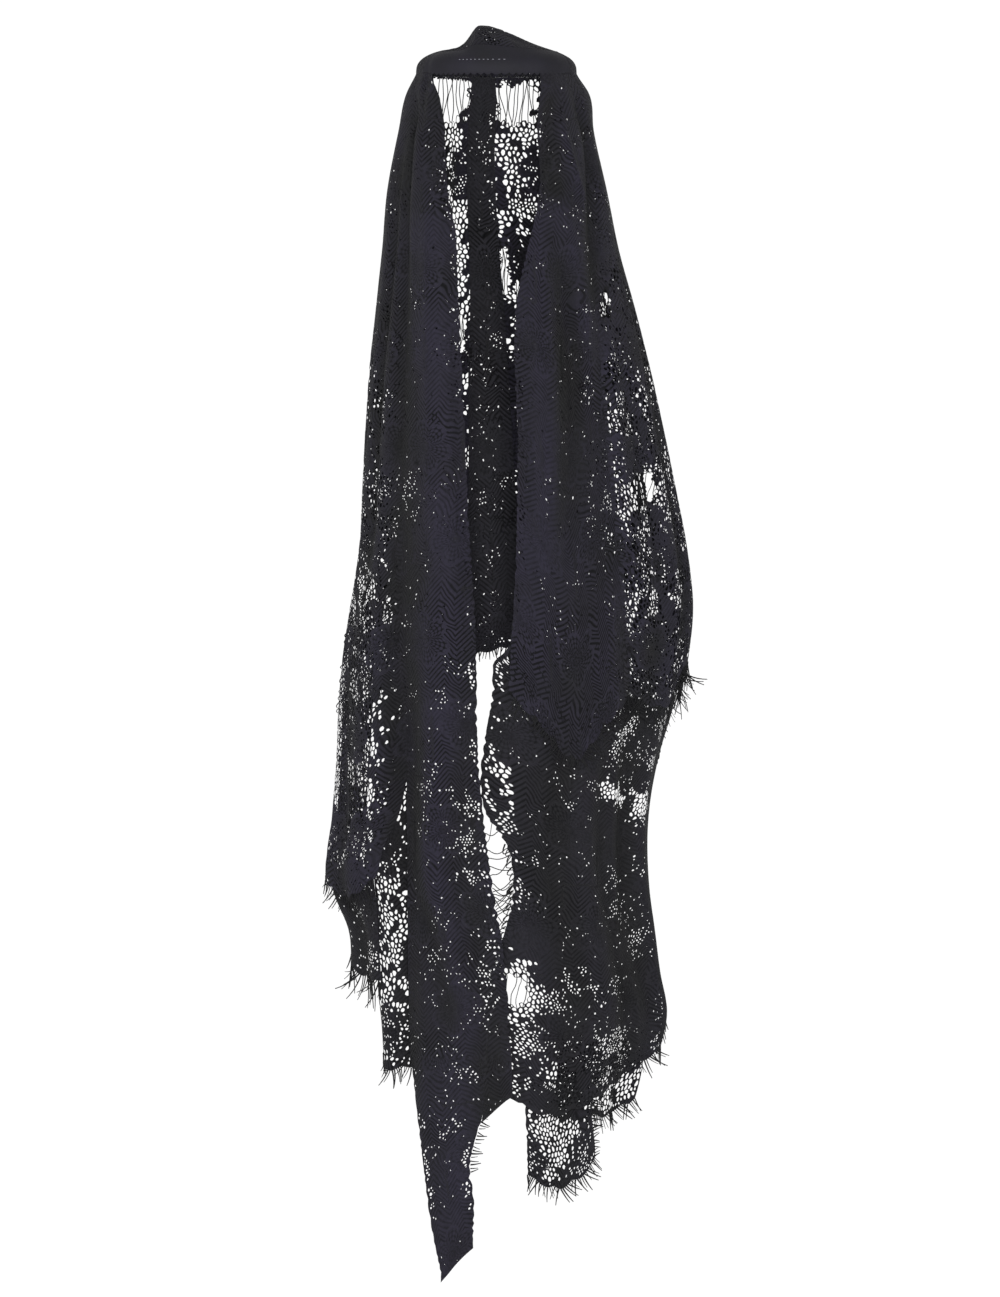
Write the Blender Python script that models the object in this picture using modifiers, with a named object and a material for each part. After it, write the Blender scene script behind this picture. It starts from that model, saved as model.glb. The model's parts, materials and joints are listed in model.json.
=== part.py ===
"""A black lace mantilla, hung hollow as it is worn over a head.

The cloth is one tube of lace round the head, open at the face and at the hem. Every stretch of it
is worked out from the same rule: an angle round the head and a height give a place on a soft oval,
and the creases move that place in or out. Lengths in the tables are in millimetres, heights are
below the top of the head, and angles run from the face, positive towards the wearer's left hand.
"""
import math
from dataclasses import dataclass, field

import bmesh
import bpy
import numpy as np
from mathutils import Vector

OBJECT_NAME = "mantilla"
MM = 0.001
WALL = 1.4
SEAM = 0.3
SEAT = WALL + 0.45
RIM = -24.0
OVAL_POWER = 2.3
SMALLEST_GAP = 4.3
THINNEST_BAR, WIDEST_BAR = 1.3, 2.6
STRIP_GAP = 0.7
STRIP_HEIGHT = 2.5
STRAND_WIDTH = 1.6
STRAND_TIP = 0.45

# The garment's outline by height: how far left, right, forward and back the outer cloth stands.
# Columns: height, left, right, front, back
OUTLINE = [
    (-10, -84, 83, -80, 88),
    (RIM, -89, 88, -86, 94),
    (-44, -99, 101, -94, 103),
    (-86, -108, 107, -100, 110),
    (-152, -120, 122, -104, 112),
    (-218, -125, 136, -105, 110),
    (-284, -132, 155, -104, 108),
    (-350, -140, 172, -103, 106),
    (-416, -145, 186, -103, 105),
    (-482, -149, 199, -103, 104),
    (-548, -153, 211, -102, 104),
    (-614, -162, 217, -102, 103),
    (-658, -168, 213, -102, 102),
    (-724, -173, 200, -102, 100),
    (-768, -174, 187, -102, 98),
    (-834, -178, 175, -102, 96),
    (-922, -183, 176, -101, 94),
    (-966, -166, 182, -100, 92),
    (-1010, -163, 187, -99, 90),
    (-1054, -156, 194, -98, 88),
    (-1110, -152, 182, -96, 84),
    (-1350, -140, 165, -92, 74),
]

# Creases: troughs have a positive depth, ridges a negative one. Both ends fade out.
# Columns: top angle, top height, bottom angle, bottom height, half width in degrees, depth
CREASES = [
    (-55, -26, -50, -85, 4.5, 6),
    (-43, -40, -33, -150, 5.5, 9),
    (-47, -500, -37, -800, 7.0, 9),
    (-36, -160, -26, -700, 6.5, -7),
    (-34, -700, -20, -1080, 4.5, 11),
    (34, -50, 30, -160, 6.5, 14),
    (37, -60, 46, -170, 3.5, -7),
    (27, -230, 11, -560, 5.0, 15),
    (16, -120, 4, -640, 6.0, -6),
    (44, -260, 27, -680, 5.5, -6),
    (76, -200, 70, -700, 5.0, 8),
    (104, -60, 98, -640, 6.0, 12),
    (146, -40, 141, -640, 6.0, 15),
    (162, -220, 160, -650, 4.5, -7),
    (172, -90, 174, -520, 4.0, 8),
    (206, -60, 209, -650, 5.0, 13),
    (222, -200, 226, -660, 6.0, -7),
    (256, -30, 252, -600, 5.5, 10),
    (272, -300, 268, -880, 5.0, 7),
    (288, -90, 290, -560, 5.0, 9),
    (20, -760, 24, -1060, 4.5, 9),
    (38, -740, 44, -1040, 4.0, 11),
    (62, -760, 58, -1040, 5.0, 9),
]


def smooth(rows, place):
    """Values on a soft curve through rows of (place, value), held level past its ends."""
    places, values = np.array(sorted(rows), float).T
    slopes = np.gradient(values, places)
    place = np.clip(np.asarray(place, float), places[0], places[-1])
    first = np.clip(np.searchsorted(places, place) - 1, 0, len(places) - 2)
    span = places[first + 1] - places[first]
    t = (place - places[first]) / span
    start = values[first] * (1 + 2 * t) * (1 - t) ** 2
    end = values[first + 1] * t * t * (3 - 2 * t)
    bend = slopes[first] * t * (1 - t) ** 2 - slopes[first + 1] * t * t * (1 - t)
    return start + end + span * bend


def ease(value):
    """Goes softly from 0 to 1 as the value does."""
    value = np.clip(value, 0, 1)
    return value * value * (3 - 2 * value)


def outline_at(height):
    """The oval's middle and half sizes at a height: middle x, half width, middle y, half depth."""
    sides = [smooth([(row[0], row[side]) for row in OUTLINE], height) for side in (1, 2, 3, 4)]
    left, right, front, back = sides
    return (left + right) / 2, (right - left) / 2, (front + back) / 2, (back - front) / 2


def oval(angle, height):
    """A place on the oval, in plan, at an angle in degrees from the face."""
    middle_x, half_width, middle_y, half_depth = outline_at(height)
    turn = np.radians(angle)
    across = np.sign(np.sin(turn)) * np.abs(np.sin(turn)) ** (2 / OVAL_POWER)
    along = np.sign(np.cos(turn)) * np.abs(np.cos(turn)) ** (2 / OVAL_POWER)
    return middle_x + half_width * across, middle_y - half_depth * along


def angle_at(width, height):
    """The angle, on the front half, of a place that is so far to the side at a height."""
    middle_x, half_width, _, _ = outline_at(height)
    share = np.clip((width - middle_x) / half_width, -1, 1)
    return np.degrees(np.sign(share) * np.arcsin(np.abs(share) ** (OVAL_POWER / 2)))


def crease(angle, height):
    """How far outward the creases and the soft waves move the cloth."""
    move = np.zeros(np.broadcast(angle, height).shape)
    for top_angle, top, bottom_angle, bottom, half_width, depth in CREASES:
        along = (top - height) / (top - bottom)
        centre = top_angle + (bottom_angle - top_angle) * np.clip(along, -0.1, 1.1)
        away = (angle - centre + 180) % 360 - 180
        fade = ease((along + 0.12) / 0.3) * ease((1.15 - along) / 0.3)
        move -= depth * fade * np.exp(-(away / half_width) ** 2)
    for edge, half_width, depth in SEAM_VALLEYS:
        away = (angle - edge(height) + 180) % 360 - 180
        fade = ease((RIM - height) / 70)
        move -= depth * fade * np.exp(-(away / half_width) ** 2)
    turn = np.radians(angle)
    size = smooth([(RIM, 0.4), (-200, 1.5), (-600, 3.0), (-1100, 5.0)], height)
    waves = np.sin(11 * turn + 1.3 * np.sin(2 * turn)) + 0.5 * np.sin(17 * turn + height / 160)
    return move + size * waves


def cloth(angle, height, inside=0.0):
    """A place on the creased cloth, moved in by some millimetres: an array of x, y and height."""
    angle, height = np.broadcast_arrays(np.asarray(angle, float), np.asarray(height, float))
    x, y = oval(angle, height)
    before = oval(angle - 1.0, height)
    after = oval(angle + 1.0, height)
    run_x, run_y = after[0] - before[0], after[1] - before[1]
    length = np.hypot(run_x, run_y)
    move = crease(angle, height) - inside
    return np.stack([x + run_y / length * move, y - run_x / length * move, height], axis=-1)


def by_width(*rows, beside=((0, 0), (-1, 0))):
    """An edge given, by height, as a distance to the side in the front view, and moved beside it."""
    return lambda height: angle_at(smooth(rows, height) + smooth(beside, height), height)


def by_angle(*rows):
    """An edge that is given, by height, as an angle round the head."""
    return lambda height: smooth(rows, height)


LEFT_SEAM = (
    (RIM, -86), (-86, -97), (-163, -104), (-272, -105), (-493, -111), (-647, -115), (-768, -109),
    (-933, -104), (-1104, -102),
)
FREE_FACE_LEFT = ((RIM, -72), (-86, -64), (-152, -58), (-185, -50), (-272, -44), (-405, -37))
RIGHT_SEAM = ((RIM, 76), (-75, 95), (-218, 108), (-383, 117), (-548, 132), (-704, 148))
BACK_RIGHT, BACK_LEFT = 125.0, 235.0

# Stretches of the outer cloth meet in the bottom of a valley. Columns: edge, half width, depth
SEAM_VALLEYS = [
    (by_width(*LEFT_SEAM), 6.0, 13),
    (by_width(*RIGHT_SEAM), 5.0, 9),
    (by_angle((RIM, BACK_RIGHT), (-704, BACK_RIGHT)), 5.5, 12),
    (by_angle((RIM, BACK_LEFT), (-704, BACK_LEFT)), 5.5, 13),
]


@dataclass
class Stretch:
    """One stretch of the cloth between two edges, from a top line down to a hem."""

    name: str
    left: object
    right: object
    hem: list
    columns: int
    rows: int
    top: list = field(default_factory=lambda: [(0, RIM), (1, RIM)])
    inside: float = 0.0
    roll_left: float = 0.0
    roll_right: float = 0.0
    bow: float = 0.0
    seat: tuple = ()
    gaps: list = field(default_factory=list)
    colour: tuple = (0.02, 0.02, 0.028)


# The outer cloth, from the wearer's right round the back to the left. Gaps are windows whose
# cells are cut through: first and last share across, first and last height, every nth cell.
OUTER = [
    Stretch(
        "left_front_fall",
        left=by_width(*LEFT_SEAM),
        right=by_width(
            *FREE_FACE_LEFT, (-515, -32), (-647, -23), (-779, -20), (-889, -8), (-999, 9), (-1104, 16)
        ),
        hem=[(0, -1104), (1, -1104)],
        columns=8,
        rows=27,
        roll_right=11,
        gaps=[(0.7, 1.0, -830, -960, 2), (0.0, 0.3, -960, -1060, 3), (0.35, 0.75, -880, -1060, 5)],
    ),
    Stretch(
        "left_side_fall",
        left=by_angle((RIM, BACK_LEFT - 360), (-904, BACK_LEFT - 360)),
        right=by_width(*LEFT_SEAM, beside=((-800, 0), (-840, -7), (-875, -20), (-904, -26))),
        hem=[(0, -904), (0.3, -872), (0.55, -916), (0.8, -925), (1, -904)],
        columns=9,
        rows=22,
        gaps=[(0.5, 1.0, -600, -900, 3), (0.0, 0.5, -720, -880, 4), (0.55, 0.95, -90, -260, 4)],
    ),
    Stretch(
        "back_fall",
        left=by_angle((RIM, BACK_RIGHT), (-704, BACK_RIGHT)),
        right=by_angle((RIM, BACK_LEFT), (-704, BACK_LEFT)),
        hem=[(0, -704), (0.25, -690), (0.52, -652), (0.8, -684), (1, -704)],
        columns=22,
        rows=17,
        gaps=[
            (0.18, 0.50, -24, -180, 1),
            (0.70, 0.90, -24, -180, 1),
            (0.36, 0.50, -210, -300, 2),
            (0.70, 0.78, -290, -350, 1),
            (0.04, 0.96, -560, -660, 4),
        ],
    ),
    Stretch(
        "right_side_fall",
        left=by_width(*RIGHT_SEAM),
        right=by_angle((RIM, BACK_RIGHT), (-704, BACK_RIGHT)),
        hem=[(0, -704), (0.25, -716), (0.5, -668), (0.75, -690), (1, -704)],
        columns=9,
        rows=17,
        gaps=[(0.0, 0.12, -260, -330, 1), (0.12, 0.35, -460, -510, 1), (0.1, 0.66, -530, -690, 2)],
    ),
    Stretch(
        "right_front_fall",
        left=by_width(
            (RIM, 47), (-86, 48), (-152, 50), (-185, 42), (-272, 22), (-438, 22), (-560, 20), (-704, 12)
        ),
        right=by_width(*RIGHT_SEAM),
        hem=[(0, -704), (0.2, -735), (0.45, -772), (0.7, -738), (1, -704)],
        columns=12,
        rows=17,
        roll_left=11,
        gaps=[(0.3, 0.6, -700, -740, 3)],
    ),
]

# Layers that hang inside the outer cloth. A seat is the carrier's name with its first and last
# column and the row where the layer is sewn to it.
INNER = [
    Stretch(
        "left_under_fall",
        left=by_angle((-600, -98), (-1020, -98)),
        right=by_width((-600, -135), (-700, -145), (-840, -146), (-900, -138), (-1020, -128)),
        hem=[(0, -988), (0.5, -1010), (1, -1020)],
        columns=5,
        rows=10,
        inside=6,
        seat=("left_side_fall", 3, 8, 14),
        gaps=[(0.0, 1.0, -930, -1000, 2)],
    ),
    Stretch(
        "left_net_fall",
        left=by_width((-640, -115), (-760, -130), (-830, -140), (-1000, -135), (-1112, -140)),
        right=by_width((-640, -66), (-760, -84), (-830, -94), (-1112, -97)),
        hem=[(0, -1100), (0.5, -1114), (1, -1110)],
        columns=4,
        rows=18,
        inside=12,
        seat=("left_front_fall", 0, 4, 15),
        gaps=[(0.0, 1.0, -850, -1100, 2)],
    ),
    Stretch(
        "right_under_fall",
        left=by_width(
            (-602, 20), (-713, -2), (-768, -8), (-823, -12), (-870, 11), (-960, 13), (-1020, 8), (-1147, 20)
        ),
        right=by_angle((-602, 33), (-640, 50), (-690, 80), (-730, 91), (-1063, 92)),
        hem=[(0, -1147), (0.12, -1163), (0.45, -1133), (0.75, -1096), (1, -1063)],
        columns=12,
        rows=15,
        inside=6,
        seat=("right_front_fall", 0, 12, 14),
        gaps=[(0.7, 0.95, -800, -850, 1), (0.0, 0.16, -1000, -1060, 1), (0.16, 0.9, -1030, -1120, 3)],
    ),
    Stretch(
        "right_lower_fall",
        left=by_width((-1000, 84), (-1060, 76), (-1158, 66)),
        right=by_angle((-1000, 91), (-1050, 82), (-1150, 68)),
        hem=[(0, -1156), (0.5, -1166), (1, -1150)],
        columns=7,
        rows=6,
        inside=23,
        seat=("right_under_fall", 5, 12, 11),
        gaps=[(0.0, 1.0, -1090, -1150, 2)],
    ),
    Stretch(
        "right_flap",
        left=by_width((-1080, 24), (-1150, 30), (-1240, 34)),
        right=by_width((-1080, 106), (-1133, 108), (-1165, 106), (-1208, 110), (-1246, 106)),
        hem=[(0, -1232), (0.4, -1244), (0.75, -1232), (1, -1214)],
        columns=5,
        rows=6,
        inside=13,
        bow=12,
        seat=("right_under_fall", 1, 6, 13),
        gaps=[(0.0, 1.0, -1170, -1230, 2)],
    ),
]

# Stretches that carry on below the left front fall, edge to edge with it, on its own columns.
BELOW = [
    Stretch(
        "left_tail",
        left=by_width((-1104, -102), (-1130, -97), (-1208, -84), (-1285, -73), (-1340, -61)),
        right=by_width((-1104, -14), (-1165, -16), (-1222, -29), (-1257, -25), (-1313, -26)),
        hem=[(0, -1350), (1, -1312)],
        columns=6,
        rows=7,
        top=[(0, -1104), (1, -1104)],
        gaps=[(0.2, 0.9, -1140, -1260, 4)],
    ),
    Stretch(
        "centre_corner",
        left=by_width((-1104, -13), (-1175, -15)),
        right=by_width((-1104, 16), (-1175, 18)),
        hem=[(0, -1175), (1, -1146)],
        columns=2,
        rows=2,
        top=[(0, -1104), (1, -1104)],
    ),
]

# Eyelash fringe along a hem. Columns: stretch, first and last column of its hem, strands in
# each column, strand length, sideways lean.
FRINGES = [
    ("left_side_fall", 2, 9, 2, 15, -5),
    ("left_under_fall", 0, 5, 2, 22, -13),
    ("left_net_fall", 0, 4, 2, 16, -6),
    ("back_fall", 1, 21, 1, 12, 2),
    ("right_side_fall", 0, 9, 2, 24, -4),
    ("right_under_fall", 8, 12, 2, 16, 5),
    ("right_lower_fall", 0, 7, 2, 14, 3),
    ("right_flap", 0, 5, 2, 12, 4),
]

CROWN_HEIGHT = 28.0
CROWN_POWER = 3.0
CROWN_RINGS = (0.14, 0.28, 0.42, 0.56, 0.70, 0.83, 0.93, 1.0)
CROWN_COLUMNS = 32
PEAK_PLACE = (-19.0, -26.0)
PEAK_HEIGHT = 25.0
PEAK_STEEP_SIDE, PEAK_LONG_SIDE, PEAK_DEPTH = 14.0, 48.0, 46.0
BAND_HALF_ANGLE = 62.0
PLEAT_COLUMNS = (11, 15)
PLEAT_LIFT = (0.0, 6.0, 7.5, 6.0, 0.0)


def stretch_grid(stretch, grids):
    """Adds a stretch's places by row and column, from its top line to its hem, to the grids."""
    share = np.linspace(0, 1, stretch.columns + 1)
    down = np.linspace(0, 1, stretch.rows + 1)[:, None]
    top = smooth(stretch.top, share) - SEAM
    sewn = None
    if stretch.seat:
        carrier, first, last, row = stretch.seat
        sewn = seated_rows(grids[carrier], first, last, row)
        top = sewn[1][:, 2]
        down = np.linspace(0, 1, stretch.rows)[:, None]
    height = top + (smooth(stretch.hem, share) - top) * down
    left, right = stretch.left(height), stretch.right(height)
    half_seam = np.degrees(SEAM / 2 / 110)
    angle = left + half_seam + (right - left - 2 * half_seam) * share
    inside = stretch.inside
    if stretch.seat:
        base = grids[carrier + " inside"][row + 1, first:last + 1]
        inside = base + SEAT + (stretch.inside - base - SEAT) * ease((down + 0.08) / 0.2)
        sewn_angle = grids[carrier + " angle"][row + 1, first:last + 1]
        angle = sewn_angle + (angle - sewn_angle) * ease((down - 0.05) / 0.35)
    inside = inside + stretch.roll_left * ease(1 - share / 0.22) * free_edge(height)
    inside = inside + stretch.roll_right * ease((share - 0.78) / 0.22) * free_edge(height)
    inside = inside - stretch.bow * np.sin(math.pi * share) * ease((down - 0.5) / 0.5)
    inside = np.broadcast_to(inside, height.shape)
    points = cloth(angle, height, inside)
    if stretch.seat:
        points = np.concatenate([sewn, points[1:]])
        inside = np.concatenate([inside[:1], inside])
        angle = np.concatenate([angle[:1], angle])
    grids[stretch.name] = points
    grids[stretch.name + " angle"] = angle
    grids[stretch.name + " inside"] = inside


def free_edge(height):
    """How much an open front edge rolls in: most beside the face, and none at the rim or low."""
    return ease((RIM - 10 - height) / 60) * ease((height + 690) / 120)


def grid_normals(grid):
    """Outward directions at a grid's points, from their neighbours down and across."""
    down = np.gradient(grid, axis=0)
    across = np.gradient(grid, axis=1)
    normal = np.cross(down, across)
    return normal / np.linalg.norm(normal, axis=-1, keepdims=True)


def seated_rows(grid, first, last, row):
    """Two rows of a carrier's points, moved in so that a layer lies on its inner face."""
    inward = grid - grid_normals(grid) * SEAT
    return inward[row:row + 2, first:last + 1]


def cut_cells(stretch, grid):
    """The grid cells to cut through, with the bar left round each, for a stretch's gap windows."""
    cells = {}
    middles = (grid[1:, 1:, 2] + grid[:-1, :-1, 2]) / 2
    widths = np.linalg.norm(np.diff(grid, axis=1), axis=-1)
    widths = np.minimum(widths[1:], widths[:-1])
    bars = np.minimum((widths - SMALLEST_GAP) / 2, WIDEST_BAR)
    for first, last, high, low, step in stretch.gaps:
        for row in range(stretch.rows):
            for column in range(stretch.columns):
                share = (column + 0.5) / stretch.columns
                inside = first <= share <= last and low <= middles[row, column] <= high
                wide_enough = bars[row, column] >= THINNEST_BAR
                if inside and wide_enough and (row * 2 + column) % step == 0:
                    cells[row, column] = bars[row, column]
    return cells


def make_material(name, colour, roughness):
    """A plain cloth material of its own for each object."""
    material = bpy.data.materials.new(name + "_material")
    material.use_nodes = True
    shader = material.node_tree.nodes["Principled BSDF"]
    shader.inputs["Base Color"].default_value = (*colour, 1.0)
    shader.inputs["Roughness"].default_value = roughness
    shader.inputs["Metallic"].default_value = 0.0
    material.diffuse_color = (*colour, 1.0)
    return material


def finish_object(name, mesh_data, collection, colour, thickness=0.0):
    """Puts a mesh in the scene as one named object, with a wall's thickness where it has one."""
    mesh = bpy.data.meshes.new(name)
    mesh_data.to_mesh(mesh)
    mesh_data.free()
    obj = bpy.data.objects.new(name, mesh)
    collection.objects.link(obj)
    mesh.materials.append(make_material(name, colour, 0.85))
    mesh.shade_smooth()
    if thickness:
        wall = obj.modifiers.new("cloth wall", "SOLIDIFY")
        wall.thickness = thickness * MM
        wall.offset = -1.0
    return obj


def mesh_from_grid(grid, closed=False):
    """A bmesh with a quad for each grid cell, facing out, and its faces by (row, column)."""
    mesh = bmesh.new()
    rows, columns = grid.shape[0], grid.shape[1]
    verts = [[mesh.verts.new(point * MM) for point in line] for line in grid]
    faces = {}
    for row in range(rows - 1):
        for column in range(columns if closed else columns - 1):
            beside = (column + 1) % columns
            corners = (
                verts[row][column],
                verts[row + 1][column],
                verts[row + 1][beside],
                verts[row][beside],
            )
            faces[row, column] = mesh.faces.new(corners)
    return mesh, faces


def add_stretch(stretch, grid, collection):
    """Makes a stretch's wall, with its lace gaps cut through."""
    mesh, faces = mesh_from_grid(grid)
    mesh.normal_update()
    cut = []
    for cell, bar in cut_cells(stretch, grid).items():
        bmesh.ops.inset_individual(mesh, faces=[faces[cell]], thickness=bar * MM)
        cut.append(faces[cell])
    bmesh.ops.delete(mesh, geom=cut, context="FACES")
    finish_object(stretch.name, mesh, collection, stretch.colour, WALL)
    return len(cut)


def crown_grid():
    """Rings of the cloth over the top of the head, from the pole out to the rim."""
    angles = np.arange(CROWN_COLUMNS) * 360.0 / CROWN_COLUMNS
    rim = cloth(angles, np.full(CROWN_COLUMNS, RIM))
    crown_rim = RIM + 2 * SEAM
    rings = []
    for share in CROWN_RINGS:
        ring = rim * share
        rise = CROWN_HEIGHT * (1 - share ** CROWN_POWER) ** (1 / CROWN_POWER)
        long_side = ring[:, 0] > PEAK_PLACE[0]
        width = np.where(long_side, PEAK_LONG_SIDE, PEAK_STEEP_SIDE)
        across = ((ring[:, 0] - PEAK_PLACE[0]) / width) ** 2
        along = ((ring[:, 1] - PEAK_PLACE[1]) / PEAK_DEPTH) ** 2
        peak = PEAK_HEIGHT * np.exp(-across - along) * ease((1 - share) / 0.25)
        ring[:, 2] = crown_rim + rise + peak
        rings.append(ring)
    return np.array(rings)


def add_crown(grid, collection):
    """The cloth over the head, with the gathered peak at its top."""
    mesh, _ = mesh_from_grid(grid, closed=True)
    mesh.verts.ensure_lookup_table()
    ring = [mesh.verts[column] for column in range(CROWN_COLUMNS)]
    pole_height = RIM + CROWN_HEIGHT + PEAK_HEIGHT * math.exp(
        -((PEAK_PLACE[0] / PEAK_LONG_SIDE) ** 2) - (PEAK_PLACE[1] / PEAK_DEPTH) ** 2
    )
    pole = mesh.verts.new((0, 0, pole_height * MM))
    for column in range(CROWN_COLUMNS):
        mesh.faces.new((pole, ring[column], ring[(column + 1) % CROWN_COLUMNS]))
    finish_object("crown", mesh, collection, (0.03, 0.028, 0.05), WALL)


def add_front_band(grid, collection):
    """The stitched band along the top of the face opening, laid on the crown's outer rings."""
    step = 360.0 / CROWN_COLUMNS
    reach = int(BAND_HALF_ANGLE / step)
    columns = [column % CROWN_COLUMNS for column in range(-reach, reach + 1)]
    around = np.concatenate([grid, grid[:, :1]], axis=1)
    normals = grid_normals(np.concatenate([grid[:, -1:], around], axis=1))[:, 1:-1]
    band = (grid + normals * SEAT)[-3:, columns]
    mesh, _ = mesh_from_grid(band)
    finish_object("front_band", mesh, collection, (0.025, 0.024, 0.035), WALL)


def pleat_grid(back):
    """The doubled fold down the middle of the back, on the back fall's inner face."""
    first, last = PLEAT_COLUMNS
    normals = grid_normals(back)[:, first:last + 1]
    lift = SEAT + np.array(PLEAT_LIFT)[None, :, None]
    pleat = back[:, first:last + 1] - normals * lift
    return pleat


def hem_frame(grid):
    """For each point of a hem: its place, and the ways down, along and out."""
    down = grid[-1] - grid[-2]
    along = np.gradient(grid[-1], axis=0)
    out = grid_normals(grid)[-1]
    ways = [way / np.linalg.norm(way, axis=-1, keepdims=True) for way in (down, along, out)]
    return np.stack([grid[-1], *ways])


def add_fringe(row, grid, collection):
    """Eyelash strands on a narrow strip that runs just below a stretch's hem."""
    name, first, last, strands, length, lean = row
    frame = hem_frame(grid)
    mesh = bmesh.new()
    rings, is_root, frames = [], [], []
    for column in range(first, last):
        start, end = frame[:, column], frame[:, column + 1]
        half_root = STRAND_WIDTH / 2 / np.linalg.norm(end[0] - start[0])
        stops = [0.0]
        for strand in range(strands):
            middle = (strand + 0.5) / strands
            stops += [middle - half_root, middle + half_root]
        for index, stop in enumerate(stops):
            frames.append(start + (end - start) * stop)
            is_root.append(index % 2 == 1)
    frames.append(frame[:, last])
    for place, down, _, out in frames:
        top = place + down * STRIP_GAP
        bottom = top + down * STRIP_HEIGHT
        ring = (top, bottom, bottom - out * WALL, top - out * WALL)
        rings.append([mesh.verts.new(point * MM) for point in ring])
    roots = []
    for index, (one, two) in enumerate(zip(rings, rings[1:])):
        for side in range(4):
            beside = (side + 1) % 4
            face = mesh.faces.new((one[side], one[beside], two[beside], two[side]))
            if side == 1 and is_root[index]:
                roots.append((face, frames[index]))
    mesh.faces.new(reversed(rings[0]))
    mesh.faces.new(rings[-1])
    for number, (face, (_, down, along, out)) in enumerate(roots):
        tip = bmesh.ops.extrude_discrete_faces(mesh, faces=[face])["faces"][0]
        wander = math.sin(number * 2.4 + length)
        reach = length * (0.82 + 0.18 * math.sin(number * 5.1))
        move = down * reach + along * (lean + 3.0 * wander) + out * 2 * wander
        centre = tip.calc_center_median()
        for vert in tip.verts:
            vert.co = centre + (vert.co - centre) * STRAND_TIP + Vector(move * MM)
    bmesh.ops.recalc_face_normals(mesh, faces=mesh.faces[:])
    finish_object(name.replace("_fall", "") + "_fringe", mesh, collection, (0.02, 0.02, 0.026))
    return len(roots)


def build_mantilla():
    """Builds every stretch of the mantilla in a collection of its own."""
    for obj in list(bpy.data.objects):
        bpy.data.objects.remove(obj, do_unlink=True)
    collection = bpy.data.collections.new(OBJECT_NAME)
    bpy.context.scene.collection.children.link(collection)
    grids = {}
    cut = 0
    for stretch in OUTER + BELOW + INNER:
        stretch_grid(stretch, grids)
        cut += add_stretch(stretch, grids[stretch.name], collection)
    crown = crown_grid()
    add_crown(crown, collection)
    add_front_band(crown, collection)
    pleat = pleat_grid(grids["back_fall"])
    grids["back_pleat"] = pleat
    mesh, _ = mesh_from_grid(pleat)
    finish_object("back_pleat", mesh, collection, (0.03, 0.03, 0.032), WALL)
    strands = sum(add_fringe(row, grids[row[0]], collection) for row in FRINGES)
    print("lace gaps cut through:", cut, "strands:", strands)


build_mantilla()
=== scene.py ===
# %% [markdown]
# # A black lace mantilla
#
# The photograph shows a long veil of black lace, filled out as it is worn, with no wearer inside.
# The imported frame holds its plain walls. This lesson turns each wall into real lace: threads,
# holes, flowers and eyelash fringe, laid on the same creased form.
#
# The photograph is flat and even, so the place of each feature was measured in the picture: one
# pixel is 1.1 mm at the veil, and the top of the head is the origin.

import json
import math
from dataclasses import dataclass, field

import bpy
import numpy as np
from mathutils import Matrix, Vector
from mathutils.geometry import delaunay_2d_cdt

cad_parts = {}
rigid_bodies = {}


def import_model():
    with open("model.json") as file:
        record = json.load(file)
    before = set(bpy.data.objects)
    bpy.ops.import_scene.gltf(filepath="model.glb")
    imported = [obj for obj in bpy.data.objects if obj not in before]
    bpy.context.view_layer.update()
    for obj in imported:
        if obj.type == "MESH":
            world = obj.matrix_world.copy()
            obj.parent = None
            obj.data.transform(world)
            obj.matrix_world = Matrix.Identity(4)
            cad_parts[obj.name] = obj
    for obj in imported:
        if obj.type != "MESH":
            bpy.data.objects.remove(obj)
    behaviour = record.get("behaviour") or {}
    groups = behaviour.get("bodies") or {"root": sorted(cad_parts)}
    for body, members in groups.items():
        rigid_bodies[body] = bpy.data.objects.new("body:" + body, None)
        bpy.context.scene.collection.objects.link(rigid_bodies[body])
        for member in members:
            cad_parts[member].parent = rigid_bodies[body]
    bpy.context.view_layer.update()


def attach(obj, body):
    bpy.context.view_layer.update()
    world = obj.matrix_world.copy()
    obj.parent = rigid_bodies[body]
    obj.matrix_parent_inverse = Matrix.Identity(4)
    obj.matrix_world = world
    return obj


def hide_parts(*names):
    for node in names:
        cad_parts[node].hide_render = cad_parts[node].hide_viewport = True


for spare in list(bpy.data.objects):
    bpy.data.objects.remove(spare, do_unlink=True)
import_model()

# %% [markdown]
# ## The veil's form as a formula
#
# The cloth is one tube round the head. An angle from the face and a height give a place on a soft
# oval, and the creases move that place in or out. A scan would be closer to one real veil, but a
# formula can be read, gives smooth cloth at any fineness, and is the same rule as the walls'.

# %% The outline and the creases
# All places are in millimetres until add_object turns them into the frame's metres.
MM = 0.001
WALL = 1.4
# How far a layer's middle lies inside the middle of the one that covers it
SEAT = WALL + 0.45
# The height where the crown ends and the falls begin
RIM = -24.0
OVAL_POWER = 2.3

# Columns: height, left, right, front, back
OUTLINE = [
    (-10, -84, 83, -80, 88),
    (RIM, -89, 88, -86, 94),
    (-44, -99, 101, -94, 103),
    (-86, -108, 107, -100, 110),
    (-152, -120, 122, -104, 112),
    (-218, -125, 136, -105, 110),
    (-284, -132, 155, -104, 108),
    (-350, -140, 172, -103, 106),
    (-416, -145, 186, -103, 105),
    (-482, -149, 199, -103, 104),
    (-548, -153, 211, -102, 104),
    (-614, -162, 217, -102, 103),
    (-658, -168, 213, -102, 102),
    (-724, -173, 200, -102, 100),
    (-768, -174, 187, -102, 98),
    (-834, -178, 175, -102, 96),
    (-922, -183, 176, -101, 94),
    (-966, -166, 182, -100, 92),
    (-1010, -163, 187, -99, 90),
    (-1054, -156, 194, -98, 88),
    (-1110, -152, 182, -96, 84),
    (-1350, -140, 165, -92, 74),
]

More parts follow.
